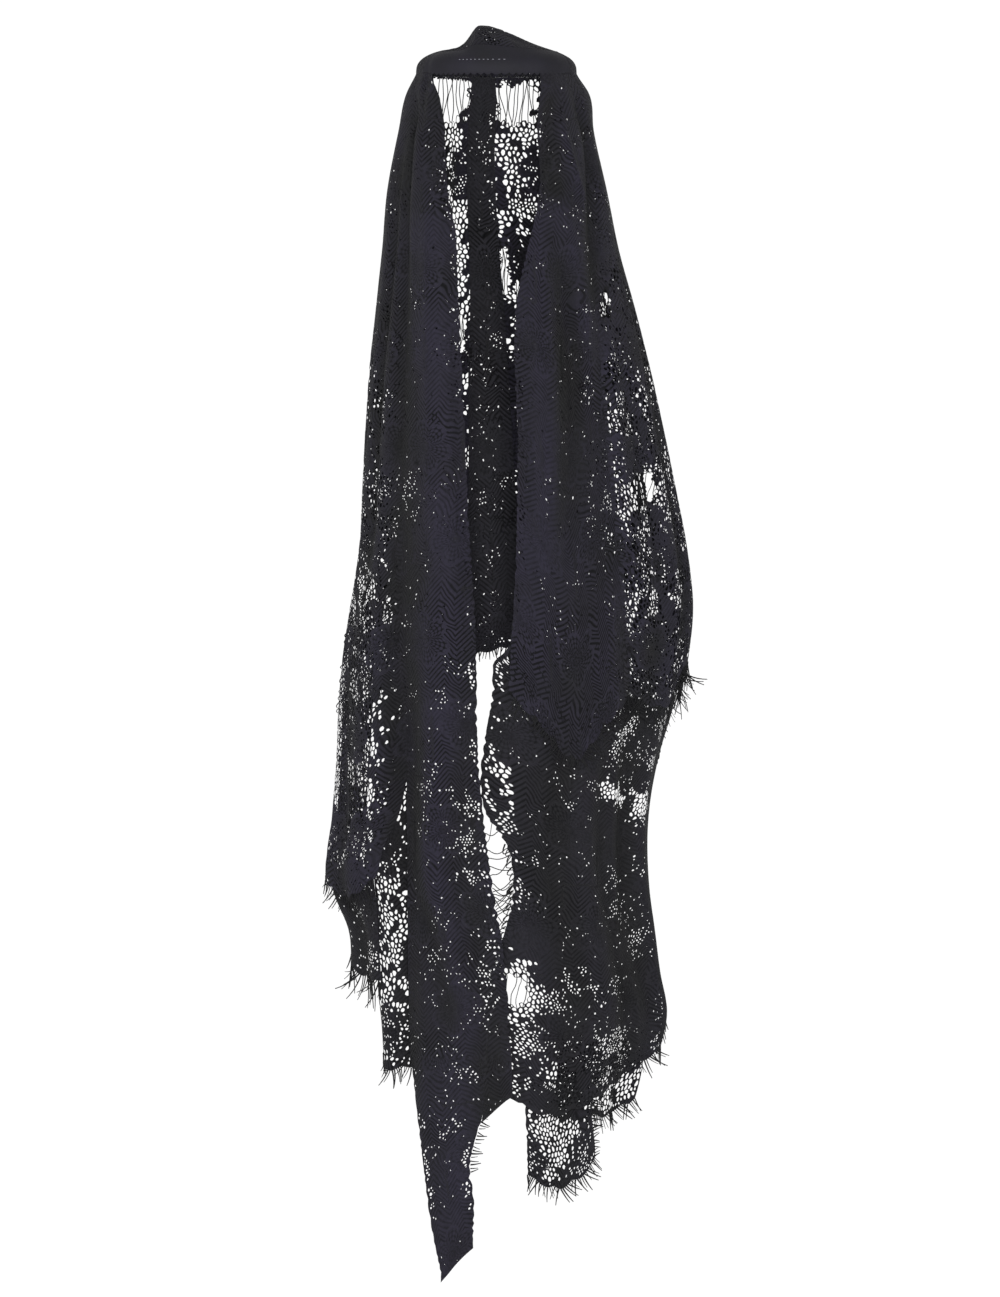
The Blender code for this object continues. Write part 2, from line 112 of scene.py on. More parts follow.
# Troughs have a positive depth, ridges a negative one.
# Columns: top angle, top height, bottom angle, bottom height, half width in degrees, depth
CREASES = [
    (-55, -26, -50, -85, 4.5, 6),
    (-43, -40, -33, -150, 5.5, 9),
    (-47, -500, -37, -800, 7.0, 9),
    (-36, -160, -26, -700, 6.5, -7),
    (-34, -700, -20, -1080, 4.5, 11),
    (34, -50, 30, -160, 6.5, 14),
    (37, -60, 46, -170, 3.5, -7),
    (27, -230, 11, -560, 5.0, 15),
    (16, -120, 4, -640, 6.0, -6),
    (44, -260, 27, -680, 5.5, -6),
    (76, -200, 70, -700, 5.0, 8),
    (104, -60, 98, -640, 6.0, 12),
    (146, -40, 141, -640, 6.0, 15),
    (162, -220, 160, -650, 4.5, -7),
    (172, -90, 174, -520, 4.0, 8),
    (206, -60, 209, -650, 5.0, 13),
    (222, -200, 226, -660, 6.0, -7),
    (256, -30, 252, -600, 5.5, 10),
    (272, -300, 268, -880, 5.0, 7),
    (288, -90, 290, -560, 5.0, 9),
    (20, -760, 24, -1060, 4.5, 9),
    (38, -740, 44, -1040, 4.0, 11),
    (62, -760, 58, -1040, 5.0, 9),
]
SEAM_FADE = 70
# The size of the soft waves round the cloth. Columns: height, size
WAVE_SIZES = [(RIM, 0.4), (-200, 1.5), (-600, 3.0), (-1100, 5.0)]
WAVES, SMALL_WAVES = 11, 17
# Where a crease fades in and out, as shares of its length, and over what share
CREASE_START, CREASE_END, CREASE_FADE = -0.12, 1.15, 0.3
print("heights in the outline:", len(OUTLINE), "creases:", len(CREASES))

# %% [markdown]
# ## Curves through a few values
#
# A form like this needs only a few measured heights, with a soft curve through them. The oval is
# a circle with its sides pushed out by a power, as a head and shoulders are squarer than an egg.

# %% Curves and the oval
def smooth(rows, place):
    """Values on a soft curve through rows of (place, value), held level past its ends."""
    places, values = np.array(sorted(rows), float).T
    slopes = np.gradient(values, places)
    place = np.clip(np.asarray(place, float), places[0], places[-1])
    first = np.clip(np.searchsorted(places, place) - 1, 0, len(places) - 2)
    span = places[first + 1] - places[first]
    t = (place - places[first]) / span
    start = values[first] * (1 + 2 * t) * (1 - t) ** 2
    end = values[first + 1] * t * t * (3 - 2 * t)
    bend = slopes[first] * t * (1 - t) ** 2 - slopes[first + 1] * t * t * (1 - t)
    return start + end + span * bend


def ease(value):
    """Goes softly from 0 to 1 as the value does."""
    value = np.clip(value, 0, 1)
    return value * value * (3 - 2 * value)


def outline_at(height):
    """The oval's middle x, half width, middle y and half depth at a height."""
    sides = [smooth([(row[0], row[side]) for row in OUTLINE], height) for side in (1, 2, 3, 4)]
    left, right, front, back = sides
    return (left + right) / 2, (right - left) / 2, (front + back) / 2, (back - front) / 2


def oval(angle, height):
    """A place on the oval, in plan, at an angle in degrees from the face."""
    middle_x, half_width, middle_y, half_depth = outline_at(height)
    turn = np.radians(angle)
    across = np.sign(np.sin(turn)) * np.abs(np.sin(turn)) ** (2 / OVAL_POWER)
    along = np.sign(np.cos(turn)) * np.abs(np.cos(turn)) ** (2 / OVAL_POWER)
    return middle_x + half_width * across, middle_y - half_depth * along


def angle_at(width, height):
    """The angle, on the front half, of a place that is so far to the side at a height."""
    middle_x, half_width, _, _ = outline_at(height)
    share = np.clip((width - middle_x) / half_width, -1, 1)
    return np.degrees(np.sign(share) * np.arcsin(np.abs(share) ** (OVAL_POWER / 2)))


print("400 mm down the veil is", round(2 * float(outline_at(-400)[1])), "mm wide")

# %% [markdown]
# ## Edges and seams
#
# Every stretch runs between two edges. In the front view an edge is easiest to read as a distance
# to the side, and behind the head as an angle, so each can be given in its own way. Two stretches
# of the outer cloth share one edge, which lies in the bottom of a valley, so no gap opens there.

# %% Edges and seams
def by_width(*rows, beside=((0, 0), (-1, 0))):
    """An edge given, by height, as a distance to the side in the front view, and moved beside it."""
    return lambda height: angle_at(smooth(rows, height) + smooth(beside, height), height)


def by_angle(*rows):
    """An edge that is given, by height, as an angle round the head."""
    return lambda height: smooth(rows, height)


LEFT_SEAM = (
    (RIM, -86), (-86, -97), (-163, -104), (-272, -105), (-493, -111), (-647, -115), (-768, -109),
    (-933, -104), (-1104, -102),
)
FREE_FACE_LEFT = ((RIM, -72), (-86, -64), (-152, -58), (-185, -50), (-272, -44), (-405, -37))
RIGHT_SEAM = ((RIM, 76), (-75, 95), (-218, 108), (-383, 117), (-548, 132), (-704, 148))
BACK_RIGHT, BACK_LEFT = 125.0, 235.0

# Stretches of the outer cloth meet in the bottom of a valley.
# Columns: edge, half width in degrees, depth
SEAM_VALLEYS = [
    (by_width(*LEFT_SEAM), 6.0, 13),
    (by_width(*RIGHT_SEAM), 5.0, 9),
    (by_angle((RIM, BACK_RIGHT), (-704, BACK_RIGHT)), 5.5, 12),
    (by_angle((RIM, BACK_LEFT), (-704, BACK_LEFT)), 5.5, 13),
]
print("valleys between stretches:", len(SEAM_VALLEYS))

# %% [markdown]
# ## The creased cloth
#
# Hanging lace falls into long creases that fade in and out. Each is a trough or a ridge along a
# slanting line, with the shape of a bell across. They are added to the oval along its normal,
# together with soft waves. Modelling each fold by hand would be slower and harder to change.

# %% The creased cloth
def crease(angle, height):
    """How far outward the creases and the soft waves move the cloth."""
    move = np.zeros(np.broadcast(angle, height).shape)
    for top_angle, top, bottom_angle, bottom, half_width, depth in CREASES:
        along = (top - height) / (top - bottom)
        centre = top_angle + (bottom_angle - top_angle) * np.clip(along, -0.1, 1.1)
        away = (angle - centre + 180) % 360 - 180
        fade = ease((along - CREASE_START) / CREASE_FADE) * ease((CREASE_END - along) / CREASE_FADE)
        move -= depth * fade * np.exp(-(away / half_width) ** 2)
    for edge, half_width, depth in SEAM_VALLEYS:
        away = (angle - edge(height) + 180) % 360 - 180
        fade = ease((RIM - height) / SEAM_FADE)
        move -= depth * fade * np.exp(-(away / half_width) ** 2)
    turn = np.radians(angle)
    waves = np.sin(WAVES * turn + 1.3 * np.sin(2 * turn))
    waves = waves + 0.5 * np.sin(SMALL_WAVES * turn + height / 160)
    return move + smooth(WAVE_SIZES, height) * waves


def cloth(angle, height, inside=0.0):
    """A place on the creased cloth, moved in by some millimetres: an array of x, y and height."""
    angle, height = np.broadcast_arrays(np.asarray(angle, float), np.asarray(height, float))
    x, y = oval(angle, height)
    before = oval(angle - 1.0, height)
    after = oval(angle + 1.0, height)
    run_x, run_y = after[0] - before[0], after[1] - before[1]
    length = np.hypot(run_x, run_y)
    move = crease(angle, height) - inside
    return np.stack([x + run_y / length * move, y - run_x / length * move, height], axis=-1)


print("the cloth at the face, 300 mm down:", np.round(cloth(0, -300), 1).tolist())

# %% [markdown]
# ## The stretches of cloth
#
# A draped veil is one cloth, but it is easier to follow as the stretches that show: the crown,
# the long front falls, the sides, the back and the layers that hang inside. Each one runs between
# two edges, from a top line to a hem. The layers inside hang from the cloth that covers them, so
# they start at its angle and depth and part from it lower down.


# %% What a stretch is
@dataclass
class Stretch:
    """One stretch of the cloth between two edges, from a top line down to a hem.

    left and right give the angle of an edge at a height. hem and top hold (share across, height).
    columns and rows are those of the wall, and inside is its depth under the outer cloth.
    seat names the stretch that this one hangs from, with its first and last column and its row,
    and settle is the share down over which it then comes to its own edges.
    roll_left and roll_right turn the edges in, bow moves the low middle out, fold moves it in.
    openness and net (across, down) set the lace. free_left and free_right are the shares down
    between which that edge hangs free, so that it has small notches.
    """

    name: str
    left: object
    right: object
    hem: list
    columns: int
    rows: int
    top: list = field(default_factory=lambda: [(0, RIM), (1, RIM)])
    inside: float = 0.0
    roll_left: float = 0.0
    roll_right: float = 0.0
    bow: float = 0.0
    fold: float = 0.0
    seat: tuple = ()
    scallop: float = 5.0
    slot: str = "lace_outer"
    openness: float = 0.05
    settle: float = 0.35
    net: tuple = (4.5, 5.9)
    free_left: tuple = ()
    free_right: tuple = ()


print("values that describe a stretch:", len(Stretch.__dataclass_fields__))

# %% The list of stretches
STRETCHES = [
    Stretch(
        "left_front_fall",
        left=by_width(*LEFT_SEAM),
        right=by_width(
            *FREE_FACE_LEFT, (-515, -32), (-647, -23), (-779, -20), (-889, -8), (-999, 9), (-1104, 16)
        ),
        hem=[(0, -1104), (1, -1104)],
        columns=8,
        rows=27,
        roll_right=11,
        scallop=0,
        free_right=(0, 1),
        openness=0.14,
    ),
    Stretch(
        "left_side_fall",
        left=by_angle((RIM, BACK_LEFT - 360), (-904, BACK_LEFT - 360)),
        right=by_width(*LEFT_SEAM, beside=((-800, 0), (-840, -7), (-875, -20), (-904, -26))),
        hem=[(0, -904), (0.3, -872), (0.55, -916), (0.8, -925), (1, -904)],
        columns=9,
        rows=22,
        openness=0.12,
    ),
    Stretch(
        "back_fall",
        left=by_angle((RIM, BACK_RIGHT), (-704, BACK_RIGHT)),
        right=by_angle((RIM, BACK_LEFT), (-704, BACK_LEFT)),
        hem=[(0, -704), (0.25, -690), (0.52, -652), (0.8, -684), (1, -704)],
        columns=22,
        rows=17,
        openness=0.72,
        net=(4.5, 6.9),
    ),
    Stretch(
        "right_side_fall",
        left=by_width(*RIGHT_SEAM),
        right=by_angle((RIM, BACK_RIGHT), (-704, BACK_RIGHT)),
        hem=[(0, -704), (0.25, -716), (0.5, -668), (0.75, -690), (1, -704)],
        columns=9,
        rows=17,
        openness=0.2,
    ),
    Stretch(
        "right_front_fall",
        left=by_width(
            (RIM, 47), (-86, 48), (-152, 50), (-185, 42), (-272, 22), (-438, 22), (-560, 20), (-704, 12)
        ),
        right=by_width(*RIGHT_SEAM),
        hem=[(0, -704), (0.2, -735), (0.45, -772), (0.7, -738), (1, -704)],
        columns=12,
        rows=17,
        roll_left=11,
        scallop=7,
        free_left=(0, 1),
        openness=0.09,
    ),
    Stretch(
        "left_tail",
        left=by_width((-1104, -102), (-1130, -97), (-1208, -84), (-1285, -73), (-1340, -61)),
        right=by_width((-1104, -14), (-1165, -16), (-1222, -29), (-1257, -25), (-1313, -26)),
        hem=[(0, -1350), (1, -1312)],
        columns=6,
        rows=7,
        top=[(0, -1104), (1, -1104)],
        scallop=0,
        free_left=(0.05, 1),
        free_right=(0.36, 1),
    ),
    Stretch(
        "centre_corner",
        left=by_width((-1104, -14), (-1165, -16), (-1175, -17)),
        right=by_width((-1104, 16), (-1175, 18)),
        hem=[(0, -1175), (1, -1146)],
        columns=2,
        rows=2,
        top=[(0, -1104), (1, -1104)],
        scallop=0,
    ),
    Stretch(
        "left_under_fall",
        left=by_angle((-600, -98), (-1020, -98)),
        right=by_width((-600, -135), (-700, -145), (-840, -146), (-900, -138), (-1020, -128)),
        hem=[(0, -988), (0.5, -1010), (1, -1020)],
        columns=5,
        rows=10,
        inside=6,
        seat=("left_side_fall", 3, 8, 14),
        slot="lace_inner",
        openness=0.12,
    ),
    Stretch(
        "left_net_fall",
        left=by_width((-640, -115), (-760, -130), (-830, -140), (-1000, -135), (-1112, -140)),
        right=by_width((-640, -66), (-760, -84), (-830, -94), (-1112, -97)),
        hem=[(0, -1100), (0.5, -1114), (1, -1110)],
        columns=4,
        rows=18,
        inside=12,
        seat=("left_front_fall", 0, 4, 15),
        slot="lace_inner",
        openness=0.78,
        net=(3.9, 6.6),
    ),
    Stretch(
        "right_under_fall",
        left=by_width(
            (-602, 10), (-658, -4), (-713, -7), (-760, -15), (-800, -19), (-838, -12), (-868, 8),
            (-955, 11), (-985, 2), (-1060, -2), (-1147, 12)
        ),
        right=by_angle((-602, 33), (-640, 50), (-690, 80), (-730, 91), (-1063, 92)),
        hem=[(0, -1147), (0.12, -1163), (0.45, -1133), (0.75, -1096), (1, -1063)],
        columns=12,
        rows=15,
        inside=6,
        seat=("right_front_fall", 0, 12, 14),
        slot="lace_inner",
        openness=0.07,
        settle=0.05,
        net=(4.1, 5.3),
        free_left=(0, 1),
    ),
    Stretch(
        "right_lower_fall",
        left=by_width((-1000, 84), (-1060, 76), (-1158, 66)),
        right=by_angle((-1000, 91), (-1050, 82), (-1150, 68)),
        hem=[(0, -1156), (0.5, -1166), (1, -1150)],
        columns=7,
        rows=6,
        inside=23,
        seat=("right_under_fall", 5, 12, 11),
        slot="lace_inner",
        openness=0.85,
    ),
    Stretch(
        "right_flap",
        left=by_width((-1080, 24), (-1150, 30), (-1240, 34)),
        right=by_width((-1080, 106), (-1133, 108), (-1165, 106), (-1208, 110), (-1246, 106)),
        hem=[(0, -1232), (0.4, -1244), (0.75, -1232), (1, -1214)],
        columns=5,
        rows=6,
        inside=13,
        bow=12,
        seat=("right_under_fall", 1, 6, 13),
        slot="lace_inner",
        openness=0.72,
        free_left=(0.15, 1),
    ),
    Stretch(
        "back_pleat",
        left=by_angle((RIM, 180.5), (-704, 181)),
        right=by_angle(
            (RIM, 195), (-200, 193.5), (-284, 194), (-330, 194.8), (-416, 195.4), (-548, 196.2),
            (-650, 193.4), (-704, 193)
        ),
        hem=[(0, -653), (0.5, -655), (1, -664)],
        columns=4,
        rows=17,
        inside=SEAT,
        fold=7,
        slot="lace_inner",
        openness=0.25,
    ),
]
NAMED = {stretch.name: stretch for stretch in STRETCHES}
print("stretches:", len(STRETCHES), "hung inside:", sum(bool(row.seat) for row in STRETCHES))

# %% [markdown]
# ## From shares to places
#
# A place on a stretch is given by two shares, across and down. Its angle and height follow from
# the edges and the hem. The front edges roll in, as a free edge of soft lace does, and a layer
# inside starts on the cloth that it is sewn to and then comes to its own edges and depth.

# %% Laying a stretch on the form
ROLL_TOP, ROLL_LOW = RIM - 10, -690
ROLL_SHARE = 0.22
# The share down a hanging layer that still follows the cloth it is sewn to
SEWN_SHARE = 0.05
# The start and the run, as shares down, over which it comes to its own depth
DEPTH_START, DEPTH_RUN = -0.08, 0.2


def free_edge(height):
    """How much an open front edge rolls in: most beside the face, and none at the rim or low."""
    return ease((ROLL_TOP - height) / 60) * ease((height - ROLL_LOW) / 120)


def row_share(stretch, row):
    """How far down a stretch a row of its wall is, as a share."""
    if stretch.seat:
        return (row - 1) / (stretch.rows - 1)
    return row / stretch.rows


def lay(stretch, share, down):
    """The angle, height and inside depth at a share across and a share down a stretch."""
    share, down = np.broadcast_arrays(np.asarray(share, float), np.asarray(down, float))
    top = smooth(stretch.top, share)
    if stretch.seat:
        carrier, first, last, row = stretch.seat
        carrier = NAMED[carrier]
        across = (first + (last - first) * share) / carrier.columns
        sewn_angle, top, base = lay(carrier, across, row_share(carrier, row + 1))
    height = top + (smooth(stretch.hem, share) - top) * down
    left, right = stretch.left(height), stretch.right(height)
    angle = left + (right - left) * share
    inside = np.full(height.shape, float(stretch.inside))
    if stretch.seat:
        inner = ease((down - DEPTH_START) / DEPTH_RUN)
        inside = base + SEAT + (stretch.inside - base - SEAT) * inner
        angle = sewn_angle + (angle - sewn_angle) * ease((down - SEWN_SHARE) / stretch.settle)
    left_roll = ease(1 - share / ROLL_SHARE)
    right_roll = ease((share - (1 - ROLL_SHARE)) / ROLL_SHARE)
    inside = inside + stretch.roll_left * left_roll * free_edge(height)
    inside = inside + stretch.roll_right * right_roll * free_edge(height)
    inside = inside - stretch.bow * np.sin(math.pi * share) * ease((down - 0.5) / 0.5)
    inside = inside + stretch.fold * np.sin(math.pi * share)
    return angle, height, inside


def surface(stretch, share, down):
    """Places on a stretch, in millimetres, at shares across and down it."""
    return cloth(*lay(stretch, share, down))


print("the left front's middle:", np.round(surface(STRETCHES[0], 0.5, 0.5), 1).tolist())

# %% [markdown]
# ## Laying the cloth flat
#
# Lace is drawn on flat cloth, so each stretch needs its flat size. The width is measured along
# the creased cloth at several heights and the length down its middle. A flat place then goes back
# to a share across and a share down, and from there to its place on the worn veil.


# %% Flat sizes
@dataclass
class Flat:
    """A stretch laid flat: its length and, by share down, its width, in millimetres."""

    stretch: Stretch
    length: float
    downs: np.ndarray
    widths: np.ndarray

    def width(self, down):
        return np.interp(down, self.downs, self.widths)

    def shares(self, x, y):
        """The shares across and down of flat places. y is negative downwards."""
        down = -y / self.length
        return x / self.width(down) + 0.5, down


def run_length(points):
    """The length along a line of points."""
    return np.linalg.norm(np.diff(points, axis=0), axis=1).sum()


def lay_flat(stretch):
    """Measures a stretch along the cloth."""
    downs = np.linspace(0, 1, 33)
    across = np.linspace(0, 1, 81)
    widths = np.array([run_length(surface(stretch, across, down)) for down in downs])
    lengths = [run_length(surface(stretch, share, downs)) for share in (0.1, 0.3, 0.5, 0.7, 0.9)]
    return Flat(stretch, float(np.mean(lengths)), downs, widths)


flats = {stretch.name: lay_flat(stretch) for stretch in STRETCHES}
for flat in flats.values():
    print(flat.stretch.name, "widest", round(flat.widths.max()), "long", round(flat.length), "mm")

# %% [markdown]
# ## Small helpers for node trees
#
# Lace repeats, so Geometry Nodes make it, and the finishes are shader nodes. Both kinds of tree
# are written here: a wrapped socket takes part in plain Python sums, and one method adds any
# other node.


# %% Sums on sockets
class Value:
    """A wrapped node socket that takes part in sums. Each sum adds a Math node."""

    def __init__(self, graph, socket):
        self.graph, self.socket = graph, socket

    def math(self, operation, *terms):
        """Any operation of the Math node on the terms given."""
        node = self.graph.add("ShaderNodeMath", {"operation": operation}, dict(enumerate(terms)))
        return Value(self.graph, node.outputs[0])

    def __add__(self, other):
        return self.math("ADD", self, other)

    def __sub__(self, other):
        return self.math("SUBTRACT", self, other)

    def __rsub__(self, other):
        return self.math("SUBTRACT", other, self)

    def __mul__(self, other):
        return self.math("MULTIPLY", self, other)

    def __truediv__(self, other):
        return self.math("DIVIDE", self, other)

    def __rtruediv__(self, other):
        return self.math("DIVIDE", other, self)

    def __pow__(self, other):
        return self.math("POWER", self, other)

    def __gt__(self, other):
        return self.math("GREATER_THAN", self, other)

    def __lt__(self, other):
        return self.math("LESS_THAN", self, other)

    def sine(self):
        return self.math("SINE", self)

    def cosine(self):
        return self.math("COSINE", self)

    def held(self):
        """The value, kept between 0 and 1."""
        return self.math("MINIMUM", self.math("MAXIMUM", self, 0.0), 1.0)

    def size(self):
        return self.math("ABSOLUTE", self)

    __radd__, __rmul__ = __add__, __mul__


print("sums on sockets ready")

# %% Any other node
class Graph:
    """Builds a node tree: add() makes any node, value() wraps a socket for sums."""

    def __init__(self, tree):
        self.tree = tree

    def add(self, kind, settings=None, inputs=None):
        """Adds a node: its settings are set first, then each input is linked or filled in."""
        node = self.tree.nodes.new(kind)
        for name, setting in (settings or {}).items():
            setattr(node, name, setting)
        for name, source in (inputs or {}).items():
            source = source.socket if isinstance(source, Value) else source
            if isinstance(source, bpy.types.NodeSocket):
                self.tree.links.new(source, node.inputs[name])
            else:
                node.inputs[name].default_value = source
        return node

    def value(self, node, output=0):
        """Wraps one of a node's outputs."""
        return Value(self, node.outputs[output])


print("graphs ready")

# %% [markdown]
# ## Trees that grow geometry
#
# A Geometry Nodes tree is built once and run on each piece with its own inputs. Its result is
# kept as a plain mesh, because the library stores meshes and not trees. Named values on the
# points, such as the size of each hole, tell the tree what to do where.

# %% Helpers for geometry trees
def geometry_tree(name, **named_inputs):
    """A new Geometry Nodes tree with named inputs, given as (socket type, default)."""
    tree = bpy.data.node_groups.new(name, "GeometryNodeTree")
    tree.interface.new_socket("Geometry", in_out="INPUT", socket_type="NodeSocketGeometry")
    tree.interface.new_socket("Geometry", in_out="OUTPUT", socket_type="NodeSocketGeometry")
    for label, (kind, default) in named_inputs.items():
        socket = tree.interface.new_socket(label, in_out="INPUT", socket_type="NodeSocket" + kind)
        if default is not None:
            socket.default_value = default
    graph = Graph(tree)
    return graph, graph.add("NodeGroupInput"), graph.add("NodeGroupOutput")


def attribute(graph, name, kind="FLOAT"):
    """Reads a named attribute in a Geometry Nodes tree."""
    return graph.add("GeometryNodeInputNamedAttribute", {"data_type": kind}, {"Name": name})


def finish_tree(graph, geometry, source, result):
    """Ends a tree: smooth shading, the material, and real geometry."""
    smooth_faces = graph.add("GeometryNodeSetShadeSmooth", inputs={"Geometry": geometry})
    dressed = graph.add(
        "GeometryNodeSetMaterial",
        inputs={"Geometry": smooth_faces.outputs[0], "Material": source.outputs["Material"]},
    )
    real = graph.add("GeometryNodeRealizeInstances", inputs={"Geometry": dressed.outputs[0]})
    graph.tree.links.new(real.outputs[0], result.inputs[0])


def grow(obj, tree, **values):
    """Runs a tree on an object once and keeps its result as a plain mesh."""
    modifier = obj.modifiers.new(tree.name, "NODES")
    modifier.node_group = tree
    for item in tree.interface.items_tree:
        if item.in_out == "INPUT" and item.name in values:
            modifier[item.identifier] = values[item.name]
    seen = obj.evaluated_get(bpy.context.evaluated_depsgraph_get())
    mesh = bpy.data.meshes.new_from_object(seen)
    obj.modifiers.remove(modifier)
    old = obj.data
    obj.data = mesh
    bpy.data.meshes.remove(old)
    mesh.name = obj.name
    return obj


def add_object(name, points, edges, faces, **attributes):
    """A mesh object from places in millimetres, with named values on its points."""
    mesh = bpy.data.meshes.new(name)
    mesh.from_pydata((np.asarray(points) * MM).tolist(), edges, faces)
    for label, values in attributes.items():
        values = np.asarray(values, float)
        kind, slot = ("FLOAT_VECTOR", "vector") if values.ndim == 2 else ("FLOAT", "value")
        mesh.attributes.new(label, kind, "POINT").data.foreach_set(slot, values.ravel())
    obj = bpy.data.objects.new(name, mesh)
    bpy.context.scene.collection.objects.link(obj)
    return obj


print("helpers for geometry trees ready")

# %% [markdown]
# ## The lace's drawing
#
# The veil has flowers with net petals, sprays of leaves between them and a ground of fine mesh.
# A lace maker works them from a draft. Here the draft is a rule on the flat cloth: staggered
# flowers with six petals, and wavy leaf lines between them. Drawn motifs would fix each flower's
# place, while a rule runs on over every stretch. A cell inside a motif is close, and one in the
# ground is open.

# %% Flowers
FLOWER_ACROSS, FLOWER_DOWN = 84.0, 104.0
FLOWER_RADIUS = 30.0
PETALS = 6
# The part of the radius that lies between the petals, and the part that a petal adds
HEART_SHARE, PETAL_SHARE = 0.58, 0.42
PETAL_ROUNDNESS = 0.7
FLOWER_WANDER = 0.22
FULL_TURN = 6.28


def steady(column, line, salt):
    """A random share that is always the same for a column, a line and a salt.

    The far digits of a large sine look random, but they repeat on every run.
    """
    value = np.sin(column * 127.1 + line * 311.7 + salt * 74.7) * 43758.5453
    return value - np.floor(value)


def flower_centre(column, line):
    """Where a flower of the staggered repeat stands on the flat cloth."""
    x = column + 0.5 * (line % 2) + FLOWER_WANDER * (steady(column, line, 1) - 0.5)
    y = line + FLOWER_WANDER * (steady(column, line, 2) - 0.5)
    x, y = x * FLOWER_ACROSS, y * FLOWER_DOWN
    return x, y


def petal_edge(turn):
    """How far from its centre a flower reaches, by turn."""
    lobes = np.abs(np.cos(turn * PETALS / 2)) ** PETAL_ROUNDNESS
    return FLOWER_RADIUS * (HEART_SHARE + PETAL_SHARE * lobes)


def nearest_flower(x, y):
    """For flat places: the way and the turn from the nearest flower's centre."""
    line = np.round(y / FLOWER_DOWN)
    column = np.round(x / FLOWER_ACROSS - 0.5 * (line % 2))
    centre_x, centre_y = flower_centre(column, line)
    away = np.hypot(x - centre_x, y - centre_y)
    turn = np.arctan2(y - centre_y, x - centre_x) + FULL_TURN * steady(column, line, 3)
    return away, turn


def petal_place(x, y):
    """Places seen from the nearest flower's middle, turned so that a petal lies along x."""
    away, turn = nearest_flower(x, y)
    return np.stack([away * np.cos(turn), away * np.sin(turn), 0 * away], axis=1)


print("one flower to", FLOWER_ACROSS, "by", FLOWER_DOWN, "mm")

# %% Leaves and eyelets
LEAF_LENGTH, LEAF_WIDTH = 24.0, 6.5
LEAF_SWAY = 9.0
# Where eyelets lie, as shares of a flower's reach, millimetres from its middle, and shares of the
# reach of a flower or a leaf
NET_PETAL = (0.32, 0.86)
HEART_RING = (5.5, 9.0)
FLOWER_BORDER, LEAF_BORDER = 1.22, 1.5
IN_PETAL, ON_BORDER = 0.55, 1.0


def between(value, span):
    """True where a value lies between the two ends of a span."""
    return (value > span[0]) & (value < span[1])


def leaf_line(x, y):
    """How far a place is from the nearest wavy leaf line, as a share of the leaf there."""
    column = np.floor(x / FLOWER_ACROSS + 0.25)
    middle = (column + 0.25) * FLOWER_ACROSS + LEAF_SWAY * np.sin(2 * math.pi * y / FLOWER_DOWN)
    width = LEAF_WIDTH * (0.15 + np.abs(np.sin(math.pi * (y + 7 * column) / LEAF_LENGTH)))
    return np.abs(x - middle) / width


def drawing(x, y):
    """The motifs: 1 where the lace is close and 0 in the ground, and where the eyelets lie."""
    away, turn = nearest_flower(x, y)
    reach = away / petal_edge(turn)
    leaf = leaf_line(x, y)
    close = np.where((reach < 1) | (leaf < 1), 1.0, 0.0)
    rib = np.abs(np.sin(turn * PETALS * 1.5)) > 0.55
    net_petal = between(reach, NET_PETAL) & rib
    border = between(reach, (1.0, FLOWER_BORDER)) | between(leaf, (1.0, LEAF_BORDER))
    petal_eyelets = np.where(net_petal | between(away, HEART_RING), IN_PETAL, 0.0)
    return close, petal_eyelets + np.where(border, ON_BORDER, 0.0)


sample_x, sample_y = np.meshgrid(np.arange(-200, 200, 5.0), np.arange(-600, 0, 5.0))
motif_share = float(drawing(sample_x, sample_y)[0].mean())
print("share of the cloth that lies in motifs:", round(motif_share, 2))

# %% [markdown]
# ## Where the lace is open
#
# Most of the veil is close lace with pinholes. It opens into a net at the sides, through the face
# opening and near the hems, and in a few places only long threads cross a gap. These windows are
# given as they are seen from the front, in millimetres.

